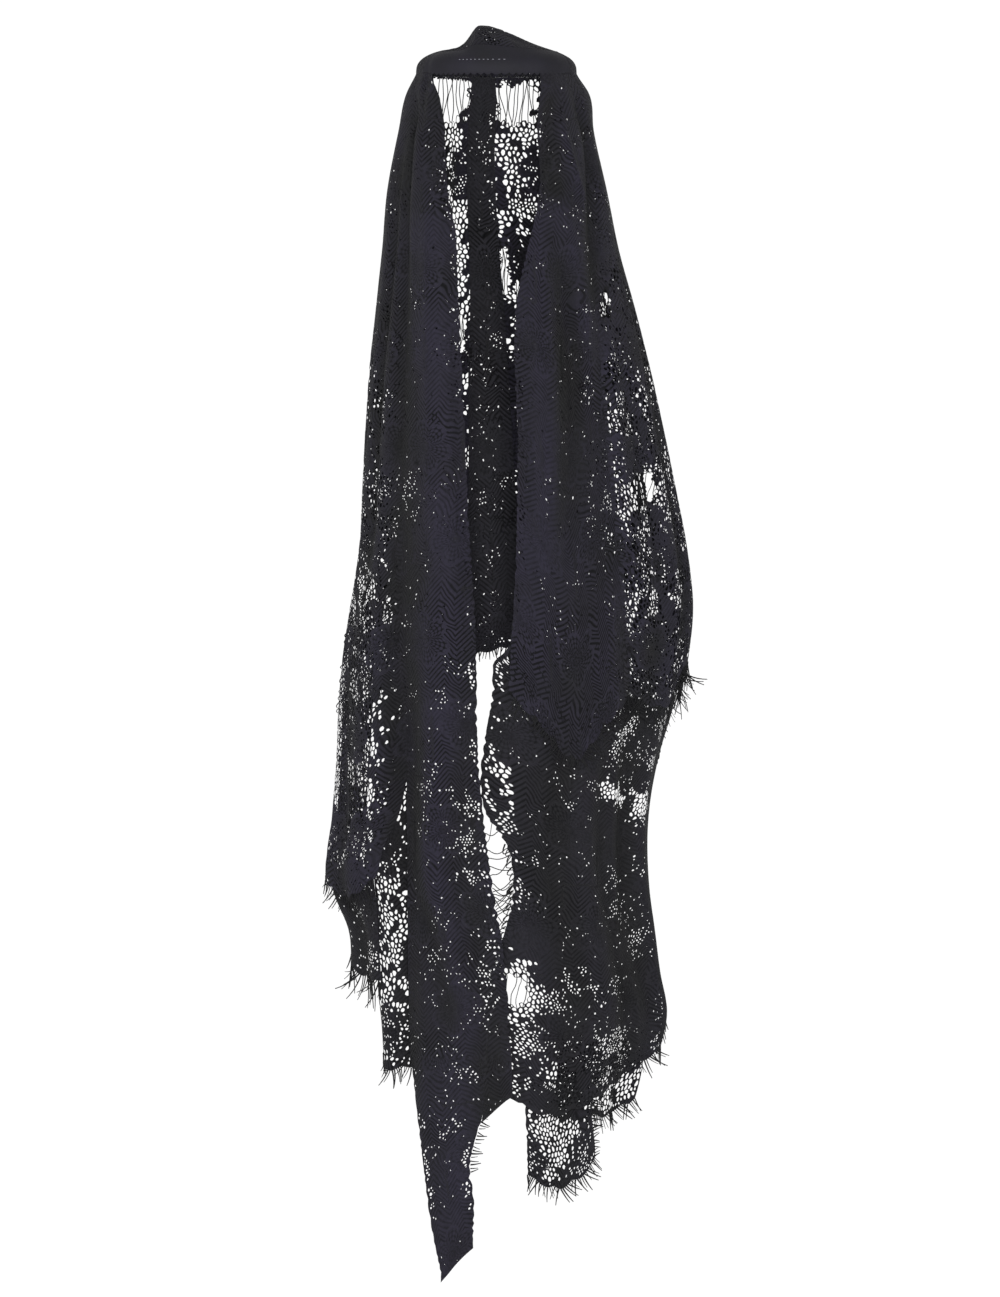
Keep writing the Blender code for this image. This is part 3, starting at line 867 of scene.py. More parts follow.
# %% Open windows
# Columns: left, right, high, low, openness
OPEN_WINDOWS = {
    "crown": [(-17, -3, 24, 4, 0.8)],
    "back_pleat": [(-22, 5, -50, -240, 0.4), (-34, 8, -270, -450, 0.45), (-30, 4, -450, -640, 0.35)],
    "back_fall": [
        (-60, 44, -10, -720, 0.2),
        (-33, 4, -60, -645, 0.85),
        (-60, -31, -14, -155, 0.8),
        (-12, 54, -14, -162, 0.76),
        (-56, -33, -150, -330, 0.9),
        (-42, -33, -330, -530, 0.8),
        (-8, 14, -165, -262, 0.8),
        (14, 38, -175, -320, 0.7),
        (100, 230, -200, -330, 0.7),
        (90, 230, -330, -710, 0.85),
        (-180, -90, -420, -710, 0.95),
    ],
    "right_side_fall": [
        (86, 170, -60, -200, 0.35),
        (92, 175, -200, -350, 0.55),
        (116, 230, -330, -560, 0.8),
        (128, 230, -560, -720, 0.85),
        (145, 178, -455, -505, 1.0),
    ],
    "right_front_fall": [
        (70, 130, -180, -420, 0.25),
        (95, 150, -420, -560, 0.45),
        (40, 150, -690, -790, 0.12),
    ],
    "left_side_fall": [
        (-180, -108, -60, -360, 0.35),
        (-180, -118, -330, -500, 0.7),
        (-136, -112, -500, -900, 0.6),
        (-190, -134, -500, -720, 0.95),
        (-190, -134, -720, -900, 1.0),
        (-190, -110, -890, -930, 0.35),
    ],
    "left_front_fall": [
        (-108, -84, -330, -560, 0.2),
        (-48, -26, -820, -930, 0.4),
        (-90, -20, -640, -700, 0.1),
        (-20, 6, -930, -1040, 0.5),
        (-80, -40, -1000, -1104, 0.1),
    ],
    "left_under_fall": [
        (-185, -130, -600, -900, 1.0),
        (-185, -130, -900, -1000, 0.2),
    ],
    "right_under_fall": [
        (-25, 16, -780, -850, 1.0),
        (124, 230, -600, -725, 0.9),
        (128, 200, -710, -800, 0.4),
        (118, 150, -804, -832, 0.85),
        (138, 180, -814, -846, 1.0),
        (125, 200, -850, -1010, 0.2),
        (0, 150, -1010, -1090, 0.36),
        (10, 70, -1080, -1150, 0.5),
        (60, 150, -1080, -1170, 0.85),
        (-5, 45, -1000, -1065, 0.9),
    ],
    "left_tail": [(-58, -12, -1108, -1190, 0.25)],
}
# Long gaps that only loose threads cross. Columns: left, right, high, low, threads
THREAD_WINDOWS = {
    "back_fall": [
        (-70, -31, -12, -70, 10),
        (-3, 44, -30, -74, 12),
        (3, 14, -216, -262, 4),
        (20, 31, -245, -278, 4),
        (-46, -35, -289, -328, 4),
    ],
    "right_side_fall": [(113, 124, -262, -294, 4), (147, 175, -462, -498, 6)],
    "right_under_fall": [(0, 34, -1014, -1046, 5)],
}
print("windows:", sum(len(rows) for rows in OPEN_WINDOWS.values()))

# %% How open the lace is
# How far unevenness moves a window's edges, and how far they fade. Columns: across, down
WINDOW_WANDER = (6, 10)
WINDOW_FADE = (14, 24)


def wander(x, y):
    """A soft unevenness, from -1 to 1, so that no window has a ruled edge."""
    across = 0.5 * np.sin(x / 9.1 + 1.7 * np.sin(y / 13.0))
    return across + 0.5 * np.sin(y / 7.3 + 1.3 * np.sin(x / 11.0))


def openness_at(stretch, places):
    """How open the lace is at places on a stretch: 0 is close and 1 a wide net."""
    x, z = places[:, 0], places[:, 2]
    uneven = wander(x, z)
    result = np.full(len(x), stretch.openness)
    for left, right, high, low, value in OPEN_WINDOWS.get(stretch.name, []):
        across = np.minimum(x - left, right - x) + WINDOW_WANDER[0] * uneven
        along = np.minimum(high - z, z - low) + WINDOW_WANDER[1] * uneven
        inside = ease(0.5 + across / WINDOW_FADE[0]) * ease(0.5 + along / WINDOW_FADE[1])
        result = result + (value - result) * inside
    return result


def in_thread_window(stretch, places):
    """True where a cell is left out, so that only loose threads cross."""
    x, z = places[:, 0], places[:, 2]
    inside = np.zeros(len(x), bool)
    for left, right, high, low, _ in THREAD_WINDOWS.get(stretch.name, []):
        across = (2 * x - left - right) / (right - left)
        along = (2 * z - high - low) / (high - low)
        reach = np.abs(across) ** 3 + np.abs(along) ** 3
        inside |= reach < 0.95 + 0.6 * wander(x * 1.7, z * 1.7)
    return inside


face_place = np.array([[-20.0, 0.0, -100.0]])
print("openness in the face opening:", openness_at(NAMED["back_fall"], face_place).round(2).tolist())

# %% [markdown]
# ## Cells of lace
#
# Real lace is thread round holes, and so is this: places are strewn on the flat cloth, joined
# into triangles, and their dual gives a honeycomb of cells, like the mesh of a raschel machine.
# An image of holes would blur when it is baked, while real cells stay sharp at every distance.

# %% Strewn places
# A close cell's width, and the height of its line as a share of that
FINE, FINE_LINE = 3.7, 0.87
# Places closer than this are thinned out
CROWDED = 2.4
# How far the middles of cells stay inside the outline, as a share of their size
MARGIN = 0.6
# How far lines of cells sway, and how uneven the cells are, as a share of their size
SWAY, UNEVEN = 3.0, 0.23


def honeycomb(width, length, across, down, seed):
    """Jittered staggered places over a flat rectangle that hangs below y = 0."""
    random = np.random.default_rng(seed)
    columns = np.arange(-width / 2 - across, width / 2 + across, across)
    lines = np.arange(-length - down, 0, down)
    x, y = np.meshgrid(columns, lines)
    x = x + (np.arange(len(lines)) % 2)[:, None] * across / 2
    x = x + random.normal(0, UNEVEN * across, x.shape) + SWAY * np.sin(y / 21 + x / 40)
    y = y + random.normal(0, UNEVEN * down, y.shape)
    return x.ravel(), y.ravel()


def spaced(x, y):
    """Thins places out, so that none crowd each other."""
    cells = np.stack([np.floor(x / CROWDED), np.floor(y / CROWDED)], axis=1)
    _, first = np.unique(cells, axis=0, return_index=True)
    return np.sort(first)


print("places in a patch of 100 by 100 mm:", len(honeycomb(100, 100, FINE, FINE * FINE_LINE, 0)[0]))

# %% [markdown]
# ## The edge of the flat cloth
#
# The hems of this lace are scalloped, and its free side edges have small uneven notches. Both are
# rules for how far the edge moves at a place, so the same rule can cut the outline, keep the
# cells inside it and hang the fringe from it. Two stretches that meet have the same edge points.

# %% The flat outline
SCALLOP_WIDTH = 27.0
EDGE_STEP = 4.2
NOTCH_SPACING, NOTCH_DEPTH = 12.0, 3.0


def scallops(flat, x):
    """How far below the straight hem its scallops hang."""
    edge = ease((flat.width(1.0) / 2 - np.abs(x)) / 10)
    return flat.stretch.scallop * edge * np.abs(np.cos(math.pi * x / SCALLOP_WIDTH))


def is_free(span, down):
    """Whether a side edge is free, and so notched, at a share down."""
    return between(down, span) if span else np.zeros(np.shape(down), bool)


def free_sides(flat, share, down):
    """Whether the side edge nearer to a share across is free there."""
    stretch = flat.stretch
    left, right = is_free(stretch.free_left, down), is_free(stretch.free_right, down)
    return np.where(np.asarray(share) < 0.5, left, right)


def notches(flat, share, down):
    """How far small uneven notches cut into a free side edge."""
    length = down * flat.length
    size = NOTCH_DEPTH * (0.6 + 0.4 * wander(length, share * 50))
    wave = 1 - np.abs(np.cos(math.pi * length / NOTCH_SPACING + 2 * np.sin(length / 17)))
    return free_sides(flat, share, down) * size * wave * ease(down / 0.05) * ease((1 - down) / 0.03)


def to_sides(flat, x, down):
    """How far a flat place is inside the nearer side edge."""
    share = np.where(x < 0, 0.0, 1.0)
    return flat.width(down) / 2 - notches(flat, share, down) - np.abs(x)


def side_steps(flat, share):
    """Shares down one side, at even heights, so that two stretches meet point to point."""
    _, (top, bottom), _ = lay(flat.stretch, share, np.array([0.0, 1.0]))
    if flat.stretch.seat:
        return np.linspace(0, 1, round((top - bottom) / EDGE_STEP) + 1)
    heights = np.append(np.arange(top, bottom + EDGE_STEP / 2, -EDGE_STEP), bottom)
    return (top - heights) / (top - bottom)


def outline_of(flat):
    """The flat outline of a stretch, anticlockwise from its top left corner."""
    left, right = side_steps(flat, 0.0), side_steps(flat, 1.0)
    left_x = notches(flat, 0.0, left) - flat.width(left) / 2
    right_x = flat.width(right) / 2 - notches(flat, 1.0, right)
    left_side = np.stack([left_x, -left * flat.length], axis=1)
    right_side = np.stack([right_x, -right * flat.length], axis=1)[::-1]
    hem_x = np.linspace(-1, 1, round(flat.width(1.0) / FINE) + 1)[1:-1] * flat.width(1.0) / 2
    top_x = np.linspace(1, -1, round(flat.width(0.0) / FINE) + 1)[1:-1] * flat.width(0.0) / 2
    hem = np.stack([hem_x, -flat.length - scallops(flat, hem_x)], axis=1)
    top = np.stack([top_x, np.zeros(len(top_x))], axis=1)
    return np.concatenate([left_side, hem, right_side, top])


print("points round the left front:", len(outline_of(flats["left_front_fall"])))

# %% Cells inside the outline
# Lace more open than this has the cells of the wide net
NET_OPENNESS = 0.5


def strew(flat, seed):
    """Flat places for the middles of a stretch's cells: fine in close lace, wide in the net."""
    size = (flat.widths.max(), flat.length + flat.stretch.scallop)
    chosen = []
    for across, down, is_net in ((FINE, FINE * FINE_LINE, False), (*flat.stretch.net, True)):
        x, y = honeycomb(*size, across, down, seed)
        share, below = flat.shares(x, y)
        margin = MARGIN * across
        inside = (to_sides(flat, x, below) > margin) & (y < -MARGIN * down)
        inside &= y > -flat.length - scallops(flat, x) + margin
        x, y, share, below = x[inside], y[inside], share[inside], below[inside]
        places = surface(flat.stretch, share, below)
        close, _ = drawing(x, y)
        wide = (openness_at(flat.stretch, places) > NET_OPENNESS) & (close < 0.5)
        keep = wide == is_net
        chosen.append(np.stack([x[keep], y[keep]], axis=1))
    seeds = np.concatenate(chosen)
    return seeds[spaced(*seeds.T)]


def triangulate(outline, seeds):
    """Joins the outline and the places inside it into triangles."""
    places = [Vector(place) for place in np.concatenate([outline, seeds]).tolist()]
    count = len(outline)
    edges = [(index, (index + 1) % count) for index in range(count)]
    found, _, faces, *_ = delaunay_2d_cdt(places, edges, [], 1, 1e-4)
    return np.array([tuple(place) for place in found]), faces


print("cells in the small corner:", len(strew(flats["centre_corner"], 0)))

# %% [markdown]
# ## How wide each hole is
#
# Every cell gets a share for its hole: none in a petal, a pinhole in close lace and a wide mesh
# in the net. On a machine the pattern chain decides this stitch by stitch. Here the shares follow
# the drawing, the open windows and a steady random unevenness, which needs no chart of stitches.


# %% Holes
# For each part of the drawing: the chance of a hole and what openness adds to it, then the
# hole's share of its cell, what openness adds to that, and how much of it is random
GROUND = (0.05, 1.5, 0.23, 0.46, 0.22)
MOTIF = (0.025, 0.12, 0.25, 0.0, 0.15)
BORDER = (0.08, 1.6, 0.28, 0.42, 0.0)
PETAL = (0.04, 0.9, 0.22, 0.35, 0.0)
LEFT_OUT = 2.0
# The close border along a hem with its row of eyelets, and the opening lace above it
HEM_BORDER, HEM_EYELETS = 9.0, 4.0
HEM_CHANCE, HEM_HOLE = 0.8, 0.55
HEM_OPENING, HEM_OPENNESS = 55.0, 0.4
# The row of eyelets inside a free side edge, with its holes' least size and what chance adds
SIDE_EYELETS = (2.6, 8.0)
SIDE_CHANCE, SIDE_HOLE, SIDE_UNEVEN = 0.45, 0.5, 0.15
# The least and the added weight of the clusters that pinholes come in
CLUSTER, CLUSTER_MORE = 0.12, 2.0
FAR_FROM_EDGE = 99.0


def holes_in(part, openness, chance, size, otherwise=0.0):
    """The hole shares in one part of the drawing, with another value where there is no hole."""
    least, more, small, wider, uneven = part
    share = small + wider * openness + uneven * size
    return np.where(chance < least + more * openness, share, otherwise)


def holes(stretch, flat_x, flat_y, places, on_outline, to_hem, to_side, seed):
    """The share of each cell that its hole takes, or LEFT_OUT for a cell that isn't there."""
    random = np.random.default_rng(seed)
    chance, size = random.random(len(flat_x)), random.random(len(flat_x))
    openness = openness_at(stretch, places)
    near_edge = ease((HEM_OPENING - to_hem) / HEM_OPENING) * (stretch.scallop > 0)
    openness = openness + (HEM_OPENNESS - openness) * near_edge * (openness < HEM_OPENNESS)
    # In close lace the pinholes come in clusters, and in the net they are everywhere
    cluster = CLUSTER + CLUSTER_MORE * wander(flat_x * 0.6 + 40, flat_y * 0.6) ** 2
    chance = chance / cluster ** np.clip(1.15 - openness, 0, 1)
    close, eyelets = drawing(flat_x, flat_y)
    ground = holes_in(GROUND, openness, chance, size)
    motif = holes_in(MOTIF, openness, chance, size)
    share = np.where(close > 0.5, motif, ground)
    border = holes_in(BORDER, openness, chance, size, share)
    share = np.where(eyelets >= ON_BORDER, border, share)
    petal = holes_in(PETAL, openness, chance, size, share)
    share = np.where(eyelets == IN_PETAL, petal, share)
    hem_row = np.where((to_hem > HEM_EYELETS) & (chance < HEM_CHANCE), HEM_HOLE, 0.0)
    share = np.where((to_hem < HEM_BORDER) & (stretch.scallop > 0), hem_row, share)
    side_row = between(to_side, SIDE_EYELETS) & (chance < SIDE_CHANCE)
    share = np.where(side_row, SIDE_HOLE + SIDE_UNEVEN * size, share)
    share = np.where(in_thread_window(stretch, places), LEFT_OUT, share)
    return np.where(on_outline, 0.0, np.clip(share, 0, LEFT_OUT))


print("a close cell has a hole with a chance of", GROUND[0], "and more in the net")

# %% [markdown]
# ## From triangles to thread
#
# A raschel machine loops thread round each hole. Here a tree takes the dual of the triangles, so
# each strewn place becomes a cell with about six sides. The cell's face is shrunk to its hole,
# slanted and squeezed a little so that no two are alike, and taken out. Tubes along every edge
# would be rounder, but they would leave the closed cells open and need twice the faces.

# %% The lace tree
SMALLEST_HOLE = 0.03
SLANT = 0.9
# The narrowest that a random squeeze makes a hole: at no openness, and what the hole's share adds
SQUEEZE = (0.25, 0.5)


def net_tree():
    """Turns a mesh of triangles into cells of thread round holes."""
    graph, source, result = geometry_tree("lace net", Material=("Material", None))
    drawn = source.outputs["Geometry"]
    for label, kind in (("flat", "FLOAT_VECTOR"), ("petal", "FLOAT_VECTOR"), ("lift", "FLOAT")):
        value = attribute(graph, label, kind).outputs[0]
        settings = {"data_type": kind, "domain": "FACE"}
        inputs = {"Geometry": drawn, "Name": label, "Value": value}
        drawn = graph.add("GeometryNodeStoreNamedAttribute", settings, inputs).outputs[0]
    cells = graph.add("GeometryNodeDualMesh", inputs={"Mesh": drawn, "Keep Boundaries": True})
    hole = graph.value(attribute(graph, "hole"))
    kept = graph.add(
        "GeometryNodeDeleteGeometry",
        {"domain": "FACE"},
        {"Geometry": cells.outputs[0], "Selection": hole > LEFT_OUT - 0.5},
    )
    rings = graph.add(
        "GeometryNodeExtrudeMesh",
        {"mode": "FACES"},
        {
            "Mesh": kept.outputs[0],
            "Selection": hole > SMALLEST_HOLE,
            "Offset Scale": 0.0,
            "Individual": True,
        },
    )
    shrunk = graph.add(
        "GeometryNodeScaleElements",
        {"domain": "FACE"},
        {"Geometry": rings.outputs["Mesh"], "Selection": rings.outputs["Top"], "Scale": hole},
    )
    along = graph.add(
        "ShaderNodeVectorMath",
        {"operation": "CROSS_PRODUCT"},
        {0: graph.add("GeometryNodeInputNormal").outputs[0], 1: (0.0, 0.0, 1.0)},
    )
    inputs = {0: (0.0, 0.0, -SLANT), 1: (0.0, 0.0, SLANT), "Seed": 3}
    slant = graph.add("FunctionNodeRandomValue", {"data_type": "FLOAT_VECTOR"}, inputs)
    inputs = {0: along.outputs[0], 1: slant.outputs[0]}
    axis = graph.add("ShaderNodeVectorMath", {"operation": "ADD"}, inputs)
    inputs = {2: hole * SQUEEZE[1] + SQUEEZE[0], 3: 1.0, "Seed": 4}
    squeeze = graph.add("FunctionNodeRandomValue", {"data_type": "FLOAT"}, inputs)
    slender = graph.add(
        "GeometryNodeScaleElements",
        {"domain": "FACE", "scale_mode": "SINGLE_AXIS"},
        {
            "Geometry": shrunk.outputs[0],
            "Selection": rings.outputs["Top"],
            "Scale": squeeze.outputs[1],
            "Axis": axis.outputs[0],
        },
    )
    opened = graph.add(
        "GeometryNodeDeleteGeometry",
        {"domain": "FACE"},
        {"Geometry": slender.outputs[0], "Selection": rings.outputs["Top"]},
    )
    finish_tree(graph, opened.outputs[0], source, result)
    return graph.tree


lace_net = net_tree()
print("nodes in the lace tree:", len(lace_net.nodes))

# %% [markdown]
# ## Finishes
#
# The lace is black. A faint violet sheen is painted into its colour on the ridges that catch the light,
# and painted shade, a neutral grey, lies in the valleys and on the inner layers; the doubled fold inside
# has a copy painted lighter. Its knitting shows as a faint fishbone. The finish reads the flat places
# that each piece keeps, so its weave runs with the cloth and its petals have their ribs and outline where
# the holes say they are. A picture of lace would not fit the folds; this rule does.

# %% Helpers for finishes
NEUTRAL_BLACK = (0.0056, 0.0056, 0.0060, 1.0)
# The violet black is painted sheen, the tone of lit ridges put into the colour; noise spreads it unevenly
SHEEN_VIOLET_BLACK = (0.0091, 0.0083, 0.0135, 1.0)
THREAD_BLACK = (0.0016, 0.0016, 0.0020, 1.0)
STITCH_GREY, STITCH_PALE = (0.05, 0.05, 0.06, 1.0), (0.11, 0.11, 0.13, 1.0)
SHEEN, SHEEN_ROUGHNESS = 0.02, 0.4
# One stitch of the weave, in millimetres
WEAVE_ACROSS, WEAVE_DOWN = 1.15, 1.5


def new_finish(name, roughness=0.8, specular=0.06):
    """A material with its graph and shader. The even values are set on the shader itself."""
    material = bpy.data.materials.new(name)
    material.use_nodes = True
    shader = material.node_tree.nodes["Principled BSDF"]
    shader.inputs["Roughness"].default_value = roughness
    shader.inputs["Specular IOR Level"].default_value = specular
    shader.inputs["Sheen Weight"].default_value = SHEEN
    shader.inputs["Sheen Roughness"].default_value = SHEEN_ROUGHNESS
    return material, Graph(material.node_tree), shader


def stored(graph, name):
    """The two flat parts of a vector that the piece keeps."""
    read = graph.add("ShaderNodeAttribute", {"attribute_type": "GEOMETRY", "attribute_name": name})
    parts = graph.add("ShaderNodeSeparateXYZ", inputs={"Vector": read.outputs["Vector"]})
    return graph.value(parts, "X"), graph.value(parts, "Y")


def stored_number(graph, name):
    """A number that the piece keeps."""
    read = graph.add("ShaderNodeAttribute", {"attribute_type": "GEOMETRY", "attribute_name": name})
    return graph.value(read, "Fac")


def unevenness(graph, scale, detail=2.0):
    """Soft noise in the piece's own coordinates."""
    place = graph.add("ShaderNodeTexCoord")
    inputs = {"Vector": place.outputs["Object"], "Scale": scale, "Detail": detail}
    return graph.value(graph.add("ShaderNodeTexNoise", inputs=inputs), 0)


def mixed(graph, share, first, second):
    """A colour between two, by a share."""
    inputs = {0: share, 6: first, 7: second}
    return graph.add("ShaderNodeMix", {"data_type": "RGBA"}, inputs).outputs[2]


def bumped(graph, shader, height, strength, distance):
    """Feeds a height into the shader as a bump."""
    inputs = {"Height": height, "Strength": strength, "Distance": distance}
    bump = graph.add("ShaderNodeBump", inputs=inputs)
    graph.tree.links.new(bump.outputs[0], shader.inputs["Normal"])


def weave(graph, x, y):
    """The fine up-and-down of knitted thread, from 0 to 1."""
    across = (x * (2 * math.pi / WEAVE_ACROSS)).sine()
    down = (y * (2 * math.pi / WEAVE_DOWN)).sine()
    return across * down * 0.5 + 0.5


def lighter(colour, light):
    """A colour made lighter by a factor."""
    return (*[part * light for part in colour[:3]], 1.0)


print("helpers for finishes ready")

# %% The lace finish
# The fishbone's step, width and sway, in millimetres
BONE_STEP, BONE_WIDTH, BONE_SWAY = 5.6, 17.0, 34.0
PETAL_ARCS, PETAL_RIBS = 6, 2.5
PETAL_OUTLINE = 0.055
# Noise scales, in turns per metre
CLEAR_PATCHES, SWAY_PATCHES, TINT_PATCHES, SPECKS = 13.0, 16.0, 16.0, 190.0


def petal_relief(graph):
    """The ribs and arcs of a petal with its outline, and 1 where a place is inside a flower."""
    x, y = stored(graph, "petal")
    away = (x * x + y * y) ** 0.5
    turn = y.math("ARCTAN2", y, x)
    lobes = (turn * (PETALS / 2)).cosine().size() ** PETAL_ROUNDNESS
    reach = away / (lobes * (PETAL_SHARE * FLOWER_RADIUS) + HEART_SHARE * FLOWER_RADIUS)
    inside = reach < 1.0
    ribs = (turn * (PETALS * PETAL_RIBS)).sine().size()
    arcs = (reach * (math.pi * PETAL_ARCS)).sine().size()
    outline = (reach - 1.0).size() < PETAL_OUTLINE
    return inside * (ribs * 0.5 + arcs * 0.5) + outline, inside


def fishbone(graph, x, y):
    """Slanting lines that turn back at every column, from 0 to 1, and that sway."""
    sway = unevenness(graph, SWAY_PATCHES) * BONE_SWAY
    zigzag = x.math("PINGPONG", x + sway, BONE_WIDTH)
    return ((y + zigzag + sway) * (math.pi / BONE_STEP)).sine().size()


def lace_finish(name, violet, light=1.0):
    """Black lace: violet sheen painted by a share on the ridges, with a fishbone ground and ribbed
    petals.
    """
    material, graph, shader = new_finish(name)
    x, y = stored(graph, "flat")
    petals, inside = petal_relief(graph)
    relief = petals + fishbone(graph, x, y) * (1.0 - inside)
    bumped(graph, shader, relief * 0.8 + weave(graph, x, y) * 0.35, 0.9, 0.0009)
    # Painted sheen: violet where the cloth stands out on its ridges, spread into uneven patches by noise,
    # and a little on the ridges of the relief; painted shade, the neutral grey, in the valleys
    lift = stored_number(graph, "lift")
    tint = (lift * 0.8 + unevenness(graph, TINT_PATCHES) * 1.3 - 0.65) * violet
    tint = tint + relief * (0.2 * violet)
    grey, sheen_colour = lighter(NEUTRAL_BLACK, light), lighter(SHEEN_VIOLET_BLACK, light)
    colour = mixed(graph, tint.held(), grey, sheen_colour)
    # Dark lines in the valleys of the relief, clearer in some patches, and fine dark specks
    clear = ((unevenness(graph, CLEAR_PATCHES) - 0.4) * 4.0).held()
    lines = ((0.8 - relief) * 2.4).held() * (clear * 0.7 + 0.3)
    dark = lines * 1.05 + unevenness(graph, SPECKS) * 0.9 - 0.4
    colour = mixed(graph, dark.held(), colour, THREAD_BLACK)
    graph.tree.links.new(colour, shader.inputs["Base Color"])
    return material


print("ribs in a flower:", round(PETALS * PETAL_RIBS * 2))

# %% [markdown]
# ## Thread, band and stitches
#
# The fringe is the same black yarn without the violet. The band is closer and smoother, and its stitches
# are a paler, tighter thread that catches the light. All three are small in the picture, so each needs
# only two close colours, mixed by noise; on the band that noise is its crease bumps, so its violet is
# painted sheen on their tops.

# %% Thread, band and stitch finishes
def thread_finish(name):
    """Fine dark thread with a little unevenness along it."""
    material, graph, shader = new_finish(name, roughness=0.7)
    colour = mixed(graph, unevenness(graph, 60.0), THREAD_BLACK, NEUTRAL_BLACK)
    graph.tree.links.new(colour, shader.inputs["Base Color"])
    bumped(graph, shader, unevenness(graph, 900.0), 0.3, 0.0003)
    return material


def band_finish(name):
    """The close band: fine even weave and soft creases, with violet sheen painted on their tops."""
    material, graph, shader = new_finish(name, roughness=0.7)
    x, y = stored(graph, "flat")
    creases = unevenness(graph, 30.0)
    bumped(graph, shader, weave(graph, x, y) * 0.3 + creases, 0.5, 0.0008)
    # Painted sheen: violet where the crease bumps stand high
    colour = mixed(graph, creases * 0.7, NEUTRAL_BLACK, SHEEN_VIOLET_BLACK)
    graph.tree.links.new(colour, shader.inputs["Base Color"])
    return material


def stitch_finish(name):
    """The paler, tighter thread of the stitches."""
    material, graph, shader = new_finish(name, roughness=0.5, specular=0.3)
    colour = mixed(graph, unevenness(graph, 300.0), STITCH_GREY, STITCH_PALE)
    graph.tree.links.new(colour, shader.inputs["Base Color"])
    return material


finishes = {
    "lace_outer": lace_finish("black lace, outer, with painted sheen", 1.0),
    # The inner layers take less of the painted sheen, which paints them in shade
    "lace_inner": lace_finish("black lace, inner, with painted shade", 0.35),
    # The doubled fold inside is painted lighter, against the shade that it stands in
    "lace_fold_painted_lighter": lace_finish("black lace, in the fold, painted lighter", 0.35, light=1.6),
    "band": band_finish("close band"),
    "fringe": thread_finish("eyelash thread"),
    "stitches": stitch_finish("band stitches"),
}
print("finishes:", list(finishes))

# %% [markdown]
# ## The crown
#
# Over the head the cloth is pulled into a small gathered peak. Its lace is laid out as a disc and
# lifted onto a dome, with soft folds that run out from the peak. The falls hang from its rim.
# A simulation would gather it too, but the formula keeps it on its solid's form.

# %% The crown's form
CROWN_HEIGHT = 28.0
CROWN_POWER = 3.0
PEAK_PLACE = (-19.0, -26.0)
PEAK_HEIGHT = 25.0
PEAK_STEEP_SIDE, PEAK_LONG_SIDE, PEAK_DEPTH = 14.0, 48.0, 46.0
GATHERS, GATHER_DEPTH = 15, 1.3
# The gathers grow over the first distance from the peak and fade between the others
GATHER_START, GATHER_END, GATHER_FADE = 26, 80, 50
# How much light is painted into the crown's colour: 0 is the painted shade of a valley and 1 the painted
# sheen of a ridge
CROWN_PAINTED_LIGHT = 0.6


def crown_surface(angle, share, gathered=True):
    """A place on the crown, where share runs from its middle, 0, out to the rim, 1."""
    angle, share = np.broadcast_arrays(np.asarray(angle, float), np.asarray(share, float))
    place = cloth(angle, np.full(angle.shape, RIM)) * share[..., None]
    rise = CROWN_HEIGHT * (1 - share ** CROWN_POWER) ** (1 / CROWN_POWER)
    side, ahead = place[..., 0] - PEAK_PLACE[0], place[..., 1] - PEAK_PLACE[1]
    width = np.where(side > 0, PEAK_LONG_SIDE, PEAK_STEEP_SIDE)
    shape = np.exp(-((side / width) ** 2) - (ahead / PEAK_DEPTH) ** 2)
    inner = ease((1 - share) / 0.25)
    turn = np.arctan2(ahead, side)
    reach = np.hypot(side, ahead)
    folds = np.cos(GATHERS * turn + 1.2 * np.sin(3 * turn))
    folds = folds * ease(reach / GATHER_START) * ease((GATHER_END - reach) / GATHER_FADE)
    place[..., 2] = RIM + rise + PEAK_HEIGHT * shape * inner
    place[..., 2] += GATHER_DEPTH * folds * inner * gathered
    return place


crown_shares = np.linspace(0, 1, 161)
crown_lines = [crown_surface(angle, crown_shares, False) for angle in (45, 135, 225, 315)]
steps = np.mean([np.linalg.norm(np.diff(line, axis=0), axis=1) for line in crown_lines], axis=0)
crown_arcs = np.concatenate([[0], np.cumsum(steps)])
CROWN_REACH = float(crown_arcs[-1])


print("crown reach", round(CROWN_REACH), "mm")

# %% The crown's lace
def make_crown(material, seed):
    """The lace over the head."""
    turns = np.linspace(0, 2 * math.pi, round(2 * math.pi * CROWN_REACH / FINE), endpoint=False)
    outline = np.stack([np.cos(turns), np.sin(turns)], axis=1) * CROWN_REACH
    x, y = honeycomb(2 * CROWN_REACH, 2 * CROWN_REACH, FINE, FINE * FINE_LINE, seed)
    y = y + CROWN_REACH
    inside = np.hypot(x, y) < CROWN_REACH - MARGIN * FINE
    seeds = np.stack([x[inside], y[inside]], axis=1)
    found, faces = triangulate(outline, seeds[spaced(*seeds.T)])
    x, y = found.T
    share = np.interp(np.hypot(x, y), crown_arcs, crown_shares)
    places = crown_surface(np.degrees(np.arctan2(x, -y)), share)
    rim = np.arange(len(x)) < len(outline)
    stretch = Stretch("crown", None, None, [], 1, 1, scallop=0, openness=0.05)
    far = np.full(len(x), FAR_FROM_EDGE)
    hole = holes(stretch, x, y, places, rim, far, far, seed)
    obj = add_object(
        "crown_lace", places, [], faces,
        hole=hole, flat=np.stack([x, y, 0 * x], axis=1), petal=petal_place(x, y), lift=CROWN_PAINTED_LIGHT + 0 * x,
    )
    return grow(obj, lace_net, Material=material)


print("cells round the rim:", round(2 * math.pi * CROWN_REACH / FINE))

# %% [markdown]
# ## The front band
#
# A narrow close band is stitched along the edge that frames the face. It is a plain strip laid on
# the outside of the crown, so a grid of points moved out along the crown's normals makes it.

# %% Band
BAND_TOP = 0.83
BAND_REACH = 61.0
BAND_ROWS, BAND_COLUMNS, BAND_HEM_ROWS = 13, 241, 4
BAND_DROP, BAND_SCALLOP, BAND_SCALLOP_TURN = 1.6, 2.4, 4.4
# The share of the reach at each end over which the hem fades out
BAND_END = 0.35


